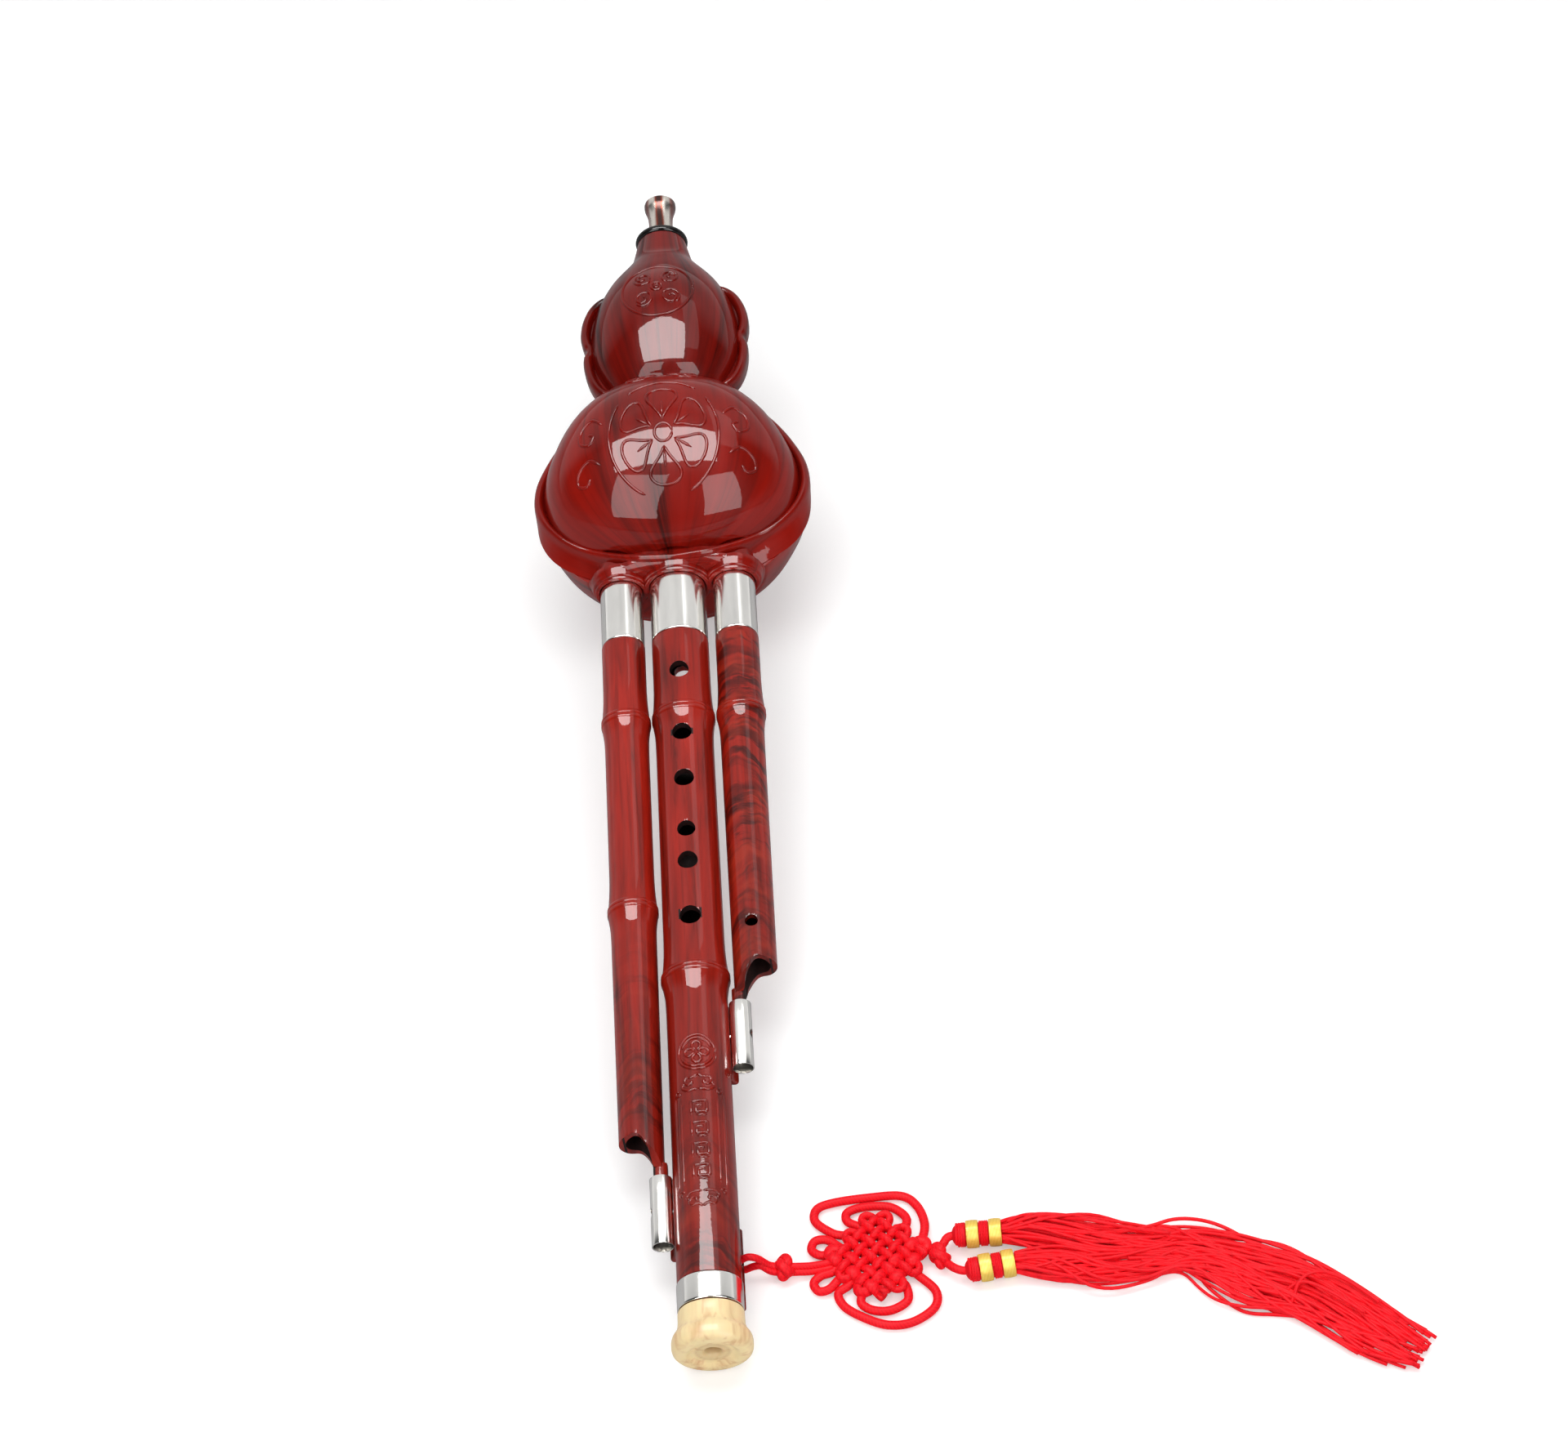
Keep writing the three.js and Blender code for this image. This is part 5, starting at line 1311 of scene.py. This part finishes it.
class MakeDronePipes(bpy.types.Operator):
    """The two drone pipes with their beaks, tails and tone holes"""
    bl_idname = "hulusi.drone_pipes"
    bl_label = "Drone pipes"

    def drone(self, name, maker):
        side = DRONE_SIDES[name]
        sleeve_top = SLEEVE_TOPS[name]
        shoulder = sleeve_top + 3.3
        top = DRONE_TOP
        outer = [(shoulder, 7.3)]
        for place in DRONE_NODES[name]:
            outer += node_rings(place, 7.6, 8.6)
        outer += [(273.1, 7.6), (273.6, 7.4), (273.6, DRONE_TENON), (top - 0.4, DRONE_TENON), (top, 6.3)]
        outline = [(top - 3, 0), (top - 3, DRONE_BORE), (shoulder, DRONE_BORE)] + outer + [(top, 0)]
        pipe = turned(name, ringed(outline, 4), 72)
        curve = smooth([(9.6, 13.1), (5, 13.55), (1.46, 14.04), (-0.73, 12.55), (-2.7, 8.9), (-3.7, 4.05)], 6)
        mouth = [(x, sleeve_top + y) for x, y in curve] + [(-3.7, sleeve_top - 13.5), (9.6, sleeve_top - 13.5)]
        if side < 0:
            mouth = [(-x, y) for x, y in reversed(mouth)]
        combine(pipe, slab("mouth", mouth, -12, 12))
        narrow = slab("narrow", [
            (-2.95, shoulder), (2.95, shoulder), (5.4, shoulder + 4), (9, shoulder + 10), (16, shoulder + 14),
            (16, top + 2), (-16, top + 2), (-16, shoulder + 14), (-9, shoulder + 10), (-5.4, shoulder + 4),
        ], -16, 16)
        narrow.matrix_world = Matrix.Rotation(math.pi / 2, 4, "Y") @ narrow.matrix_world
        activate(narrow)
        bpy.ops.object.transform_apply(location=True, rotation=True, scale=True)
        combine(pipe, narrow, "INTERSECT")
        tail = rod(2.9, (-side * 5.8, sleeve_top - 6, 0), (-side * 5.8, shoulder + 1.8, 0), 40)
        soften(tail, 0.0004, 30, 2)
        low, high = sorted((-side * 8.2, -side * 3.7))
        combine(tail, block((low, sleeve_top - 10, -8), (high, shoulder + 6, 8)), "INTERSECT")
        combine(pipe, tail, "UNION")
        if side > 0:
            combine(pipe, rod(2.2, (0, 152.99, 0), (0, 152.99, 12), 32))
        else:
            combine(pipe, rod(1.2, (0, 123.22, 0), (-12, 123.22, 0), 24))
        reed_seat(pipe, 0, DRONE_TENON, top)
        pipe.location.x = side * DRONE_SPACING * MM
        activate(pipe)
        bpy.ops.object.transform_apply(location=True, rotation=False, scale=False)
        soften(pipe, sizes().edge * 0.8, 50)
        body = name + "_drone"
        finished(pipe, body + "_body", body, finish(maker), [body + "_pipe"], angle=32, even=True)
        paint_bore_shade(pipe, side * DRONE_SPACING, DRONE_BORE)

    def execute(self, context):
        self.drone("left", left_pipe_lacquer)
        self.drone("right", right_pipe_lacquer)
        return {"FINISHED"}


class MakeFerrules(bpy.types.Operator):
    """The three nickel ferrules"""
    bl_idname = "hulusi.ferrules"
    bl_label = "Ferrules"

    def execute(self, context):
        for name, x, outer, body in (
            ("main", 0, MAIN_FERRULE, "melody_pipe"), ("left", -DRONE_SPACING, DRONE_FERRULE, "left_drone"),
            ("right", DRONE_SPACING, DRONE_FERRULE, "right_drone"),
        ):
            low, high, inner = FERRULE_FOOT, FERRULE_TOP, outer - 0.5
            tube = turned(name, ringed(rounded([
                (high, inner), (low, inner), (low, outer), (low + 0.8, outer + 0.02), (low + 1, outer), (high, outer),
                (high, inner),
            ], 0.2, 3), 6), 96)
            tube.location.x = x * MM
            finished(tube, name + "_ferrule_tube", body, finish(nickel), [name + "_ferrule"])
        return {"FINISHED"}


class MakeSleeves(bpy.types.Operator):
    """The two open sleeves beside the melody pipe"""
    bl_idname = "hulusi.sleeves"
    bl_label = "Sleeves"

    def execute(self, context):
        for name, side in DRONE_SIDES.items():
            high = SLEEVE_TOPS[name]
            low, outer, inner = high - SLEEVE_LENGTH, SLEEVE_RADIUS, SLEEVE_RADIUS - 0.45
            middle = (low + high) / 2
            tube = turned(name, ringed(rounded([
                (high, inner), (low, inner), (low, outer), (high, outer), (high, inner)
            ], 0.14, 2), 5), 48)
            combine(tube, rod(1.7, (0, middle, 0), (side * 8, middle, 1.4), 32))
            combine(tube, rod(1.1, (0, middle, 0), (-side * 8, middle, 0), 24))
            tube.location.x = side * SLEEVE_OFFSET * MM
            finished(tube, name + "_sleeve_tube", "melody_pipe", finish(nickel), [name + "_sleeve"])
        return {"FINISHED"}


class MakeFootBand(bpy.types.Operator):
    """The polished band at the foot of the melody pipe"""
    bl_idname = "hulusi.foot_band"
    bl_label = "Foot band"

    def execute(self, context):
        low, high = PIPE_FOOT, PIPE_FOOT + 9.2
        band = turned("band", rounded([
            (high, 10.2), (low, 10.2), (low, 10.55), (low + 0.5, 10.66), (high - 0.5, 10.66), (high, 10.55),
            (high, 10.2),
        ], 0.2, 3), 96)
        finished(band, "foot_ring", "melody_pipe", finish(nickel), ["foot_band"])
        return {"FINISHED"}


# The end plug's outline from the recess in its face to its top
PLUG = [
    (2.0, 2.6), (1.1, 3.2), (1.1, 7.1), (0.5, 7.75), (0.02, 8.5), (0, 10.4), (0.3, 11.7), (1.2, 12.6), (2.4, 12.95),
    (4.6, 12.95), (5.9, 12.6), (6.9, 11.9), (8.0, 11.2), (9.6, 10.75), (11.5, 10.62), (14.2, 10.6), (14.7, 10.3),
    (14.7, 6.7), (27.3, 6.7), (27.7, 6.3),
]


class MakeEndPlug(bpy.types.Operator):
    """The end plug with its rounded flange, recess and hole"""
    bl_idname = "hulusi.end_plug"
    bl_label = "End plug"

    def execute(self, context):
        outline = [(27.7, 2.6)] + rounded(PLUG, 0.5, 3) + [(27.7, 2.6)]
        plug = turned("plug", ringed(outline, 3), 96)
        finished(plug, "plug_body", "plug", finish(bone), ["end_plug"])
        return {"FINISHED"}


def dome_point(x, place, sink=0.0):
    """A point on the gourd's front, in metres."""
    power = fullness(place)
    rest = max(1 - abs(x / level_at(SMOOTH_DOME, place)) ** power, 0.001)
    return Vector((x, place, level_at(SMOOTH_CREST, place) * rest ** (1 / power) - sink)) * MM


PIPE_RADIUS = 10.24


def pipe_point(across, place, sink=0.0):
    """A point on the melody pipe's front, in metres."""
    surface = PIPE_RADIUS - sink
    angle = across / PIPE_RADIUS
    return Vector((surface * math.sin(angle), place, surface * math.cos(angle))) * MM


def arc(x, y, half_x, half_y, start, end, steps=32):
    return [
        (x + half_x * math.cos(math.radians(start + (end - start) * step / steps)),
         y + half_y * math.sin(math.radians(start + (end - start) * step / steps)))
        for step in range(steps + 1)
    ]


def spiral(x, y, reach, start, turns, steps=28, inner=0.18):
    """A curl that runs inwards; a negative number of turns runs the other way."""
    points = []
    for step in range(steps + 1):
        out = reach * (1 - (1 - inner) * step / steps)
        angle = math.radians(start) + 2 * math.pi * turns * step / steps
        points.append((x + out * math.cos(angle), y + out * math.sin(angle)))
    return points


def mirrored(line, x=0.0):
    return [(2 * x - a, b) for a, b in line]


def raised(name, lines, point, radius, body, maker, sink=0.12):
    """Rounded raised lines on a surface."""
    routes = []
    for line, share in lines:
        path = [point(*place, sink) for place in ringed(line, 0.9)]
        count = len(path)
        taper = lambda t, n=count: radius * share * min(1, 0.35 + 0.33 * min(t, 1 - t) * (n - 1))
        routes.append({"path": path, "radius": taper, "sides": 8})
    finished(strands(name, routes), name, body, finish(maker), angle=0)


# Middles of the gourd's flower, of the round above it and of the pipe's round
FLOWER = (0.6, 339)
CROWN_ROUND = (-0.6, 417.4)
PIPE_ROUND = (0, 103.3)
# Ornament in millimetres: scroll ends and key pattern of the pipe's frame, and leaves beside the gourd's flower
SCROLLS = [
    [(0, 6.4), (1.6, 5.2), (3.6, 5.4), (4.4, 3.8), (3.2, 2.6), (1.9, 3.2), (2.5, 4.1)],
    [(4.4, 3.6), (5.4, 2), (3.4, 0.6), (0, 0.9)],
]
KEY = [(-2.6, -2.5), (-2.6, 2.5), (2.6, 2.5), (2.6, -1.5), (-1, -1.5), (-1, 0.9), (1, 0.9), (1, -0.1)]
LEAVES = [
    [(2.2, 371.6), (6.2, 373.8), (10.8, 371.8), (12.6, 367.4), (8.4, 366.6), (4.4, 368.2), (2.2, 371.6)],
    [(2.6, 371.2), (6.4, 370.6), (9.6, 369.2)],
    [(21.5, 346), (25.5, 349.5), (29.5, 346.5), (30, 341.5), (26.8, 339.6), (25, 342.4), (27, 343.6)],
    [(23, 331), (27, 333.6), (31, 331), (31.6, 327), (28.6, 325.4), (27, 327.6)],
]


class MakeRelief(bpy.types.Operator):
    """Traditional raised ornament on the gourd and on the melody pipe"""
    bl_idname = "hulusi.relief"
    bl_label = "Relief"

    def gourd(self):
        x, y = FLOWER
        lines = [(arc(x, y, 19.5, 22.6, start, end, 60), 1.0) for start, end in ((-66, 38), (52, 128), (142, 246))]
        for petal in range(6):
            turn = math.radians(60 * petal + 30)
            outline = []
            for step in range(29):
                t = step / 28
                out = 1 - abs(2 * t - 1)
                reach = 4.4 + 11.6 * math.sin(math.pi / 2 * out) ** 0.9
                angle = turn + (1 if t > 0.5 else -1) * 0.42 * math.sin(math.pi * out) ** 0.8
                outline.append((x + reach * math.cos(angle), y + reach * 1.15 * math.sin(angle)))
            lines.append((outline, 1.25))
            lines.append(([(x + r * math.cos(turn), y + r * 1.15 * math.sin(turn)) for r in (6, 8.5, 11)], 1.0))
        lines.append((arc(x, y, 3.1, 3.5, 0, 360, 40), 1.25))
        for leaf in LEAVES:
            curve = smooth(leaf, 6)
            lines.append((curve, 0.9))
            lines.append((mirrored(curve, 0.3), 0.9))
        x, y = CROWN_ROUND
        lines.append((arc(x, y, 13, 12.6, 0, 360, 80), 0.8))
        lines.append((arc(x, y, 1.9, 1.9, 0, 360, 24), 1.3))
        lines.append((arc(x, y, 0.7, 0.7, 0, 360, 16), 1.5))
        for quarter in range(4):
            turn = 90 * quarter + 45
            cx, cy = x + 7.4 * math.cos(math.radians(turn)), y + 7.2 * math.sin(math.radians(turn))
            lines.append((spiral(cx, cy, 3.0, turn + 180, 1.1), 0.8))
            lines.append((spiral(cx, cy, 3.4, turn + 200, -0.6, inner=0.8), 0.7))
        raised("gourd_relief", lines, dome_point, sizes().relief * 1.1, "gourd", gourd_lacquer)

    def pipe(self):
        x, y = PIPE_ROUND
        lines = [(arc(x, y, 6.3, 6.3, 0, 360, 60), 1.0)]
        lines += [(arc(x, y, 5.2, 5.2, start, start + 140, 30), 0.7) for start in (20, 200)]
        for quarter in range(4):
            turn = math.radians(90 * quarter)
            petal = [
                (x + reach * math.cos(turn + lean), y + reach * math.sin(turn + lean))
                for reach, lean in ((0.6, 0), (1.9, 0.62), (3.3, 0.4), (4, 0), (3.3, -0.4), (1.9, -0.62), (0.6, 0))
            ]
            lines.append((smooth(petal, 5), 0.9))
        for foot, up in ((88.8, 1), (53.4, -1)):
            for scroll in SCROLLS:
                line = smooth([(x, foot + up * rise) for x, rise in scroll], 6)
                lines.append((line, 1.05))
                lines.append((mirrored(line), 1.05))
        for side in (-1, 1):
            lines.append(([(side * 8.6, 88.2), (side * 8.6, 54.0)], 0.8))
            lines.append(([(side * 6.3, 86.6), (side * 6.3, 55.6)], 0.8))
            for level, up in ((88.6, 1), (53.6, -1)):
                start = 0 if side < 0 else 180
                lines.append((spiral(side * 7.4, level + up * 0.9, 1.2, start, side * up * 0.9), 0.7))
        for level in (82.6, 74.9, 67.2, 59.5):
            key = [(across, level + up) for across, up in KEY]
            lines.append((rounded(key, 0.3, 2), 1.0))
            lines.append(([(-1.0, level - 2.6), (2.7, level - 2.6)], 0.8))
        raised("pipe_relief", lines, pipe_point, sizes().relief * 0.95, "melody_pipe", pipe_lacquer)

    def execute(self, context):
        self.gourd()
        self.pipe()
        return {"FINISHED"}


class FinishInnerParts(bpy.types.Operator):
    """Materials of the seals, reed plates and screws, which keep their solids"""
    bl_idname = "hulusi.inner_parts"
    bl_label = "Inner parts"

    def execute(self, context):
        for name in ("main", "left", "right"):
            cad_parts[name + "_socket_seal"].material_slots[0].material = finish(seal_rubber)
            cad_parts[name + "_reed_plate"].material_slots[0].material = finish(brass)
        for name in ("left", "right"):
            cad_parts[name + "_sleeve_screw"].material_slots[0].material = finish(nickel)
        return {"FINISHED"}


# Name, place, width and height in metres, level on matt surfaces, level in mirrors, up, and the point it faces
MIDDLE = (0, 0.05, 0.03)
LAMPS = [
    ("overhead", (-0.07, 0.125, 1.25), 1.15, 0.45, 4.7, 16, (0, 1, 0), None),
    ("overhead_right", (0.74, 0.5, 1.25), 0.5, 0.8, 1.0, 1.2, (0, 1, 0), None),
    ("left_panel", (-0.5, -0.85, 1.0), 0.7, 1.5, 2.2, 5.2, (0.05, 0.5, 0.8), MIDDLE),
    ("right_panel", (0.66, -0.88, 0.82), 0.66, 1.4, 2.3, 5.2, (-0.05, 0.7, 0.9), MIDDLE),
]


class SetStage(bpy.types.Operator):
    """A pale floor, a dim room and soft lamps"""
    bl_idname = "hulusi.stage"
    bl_label = "Floor and lamps"

    def lamp(self, name, place, width, height, level, shine, up, target):
        """A soft lamp: level is its brightness on matt surfaces, and shine its brightness in mirrors."""
        for part, brightness, ahead in (("light", level, 0), ("shine", shine, 0.004)):
            data = bpy.data.lights.new(name + "_" + part, "AREA")
            data.shape = "RECTANGLE"
            data.size, data.size_y = width, height
            data.energy = brightness * math.pi * width * height
            lamp = bpy.data.objects.new(name + "_" + part, data)
            bpy.context.scene.collection.objects.link(lamp)
            lamp.visible_diffuse = part == "light"
            lamp.visible_glossy = part == "shine"
            back = (Vector(place) - Vector(target)).normalized() if target else Vector((0, 0, 1))
            side = Vector(up).cross(back).normalized()
            top = back.cross(side)
            turn = Matrix((side, top, back)).transposed().to_4x4()
            lamp.matrix_world = Matrix.Translation(Vector(place) - back * ahead) @ turn

    def execute(self, context):
        bpy.context.scene.view_settings.view_transform = "Standard"
        activate()
        bpy.ops.mesh.primitive_plane_add(size=8, location=(0, 0, -0.0002))
        floor = context.object
        floor.name = "floor"
        tree = Tree("floor_white", Roughness=0.75, Specular_IOR_Level=0.2)
        path = tree.nodes.new("ShaderNodeLightPath")
        pale = tree.ramp(tree.noise(tree.source.outputs["Object"], 4, 2), [(0.3, 0.8), (0.7, 0.82)])
        # Painted shade in reflections: glossy rays see the floor as a flat grey of 0.45, darker than it looks to the
        # camera.
        base = tree.mix(path.outputs["Is Glossy Ray"], pale, (0.45, 0.45, 0.46))
        tree.links.new(base, tree.shader.inputs["Base Color"])
        seen = tree.maths("MAXIMUM", path.outputs["Is Camera Ray"], path.outputs["Is Transmission Ray"])
        tree.shader.inputs["Emission Color"].default_value = (1, 1, 1, 1)
        tree.links.new(tree.maths("MULTIPLY", seen, 0.34), tree.shader.inputs["Emission Strength"])
        floor.data.materials.append(tree.material)
        world = bpy.data.worlds.new("room")
        context.scene.world = world
        world.use_nodes = True
        nodes, links = world.node_tree.nodes, world.node_tree.links
        source = nodes.new("ShaderNodeTexCoord")
        apart = nodes.new("ShaderNodeSeparateXYZ")
        links.new(source.outputs["Generated"], apart.inputs[0])

        def part(socket, stops):
            ramp = nodes.new("ShaderNodeValToRGB")
            links.new(socket, ramp.inputs["Fac"])
            for element, (position, shade) in zip(ramp.color_ramp.elements, stops):
                element.position = position
                element.color = (shade, shade, shade, 1)
            return ramp.outputs["Color"]

        def joined(operation, first, second):
            node = nodes.new("ShaderNodeVectorMath")
            node.operation = operation
            links.new(first, node.inputs[0])
            links.new(second, node.inputs[1])
            return node.outputs[0]

        across, up = apart.outputs["Y"], apart.outputs["Z"]
        behind = joined("MULTIPLY", part(across, ((0.2, 0), (0.42, 0.72))), part(up, ((0.86, 1), (0.93, 0))))
        level = joined("ADD", behind, part(up, ((0.02, 0.3), (0.24, 0.03))))
        links.new(level, nodes["Background"].inputs["Color"])
        nodes["Background"].inputs["Strength"].default_value = 1
        for name, place, width, height, level, shine, up, target in LAMPS:
            self.lamp(name, place, width, height, level, shine, up, target)
        return {"FINISHED"}


class HulusiPanel(bpy.types.Panel):
    """Lists the pieces"""
    bl_idname = "VIEW3D_PT_hulusi"
    bl_label = "Hulusi"
    bl_space_type = "VIEW_3D"
    bl_region_type = "UI"
    bl_category = "Hulusi"

    def draw(self, context):
        for group in (sizes(), colours()):
            for name in group.bl_rna.properties.keys():
                if name not in ("rna_type", "name"):
                    self.layout.prop(group, name)
        for maker in MAKERS:
            self.layout.operator(maker.bl_idname)


MAKERS = [
    PlaceCamera, MakeCord, MakeTassels, MakeGourdFront, MakeGourdBack, MakeSeat, MakeMouthpiece, MakeMainPipe,
    MakeDronePipes, MakeFerrules, MakeSleeves, MakeFootBand, MakeEndPlug, MakeRelief, FinishInnerParts, SetStage,
]


def register():
    for kind in (HulusiSizes, HulusiColours, *MAKERS, HulusiPanel):
        bpy.utils.register_class(kind)
    bpy.types.Scene.hulusi_sizes = bpy.props.PointerProperty(type=HulusiSizes)
    bpy.types.Scene.hulusi_colours = bpy.props.PointerProperty(type=HulusiColours)


def unregister():
    del bpy.types.Scene.hulusi_colours
    del bpy.types.Scene.hulusi_sizes
    for kind in (HulusiPanel, *reversed(MAKERS), HulusiColours, HulusiSizes):
        bpy.utils.unregister_class(kind)


def main():
    register()
    for maker in MAKERS:
        group, name = maker.bl_idname.split(".")
        getattr(getattr(bpy.ops, group), name)()


if __name__ == "__main__":
    main()
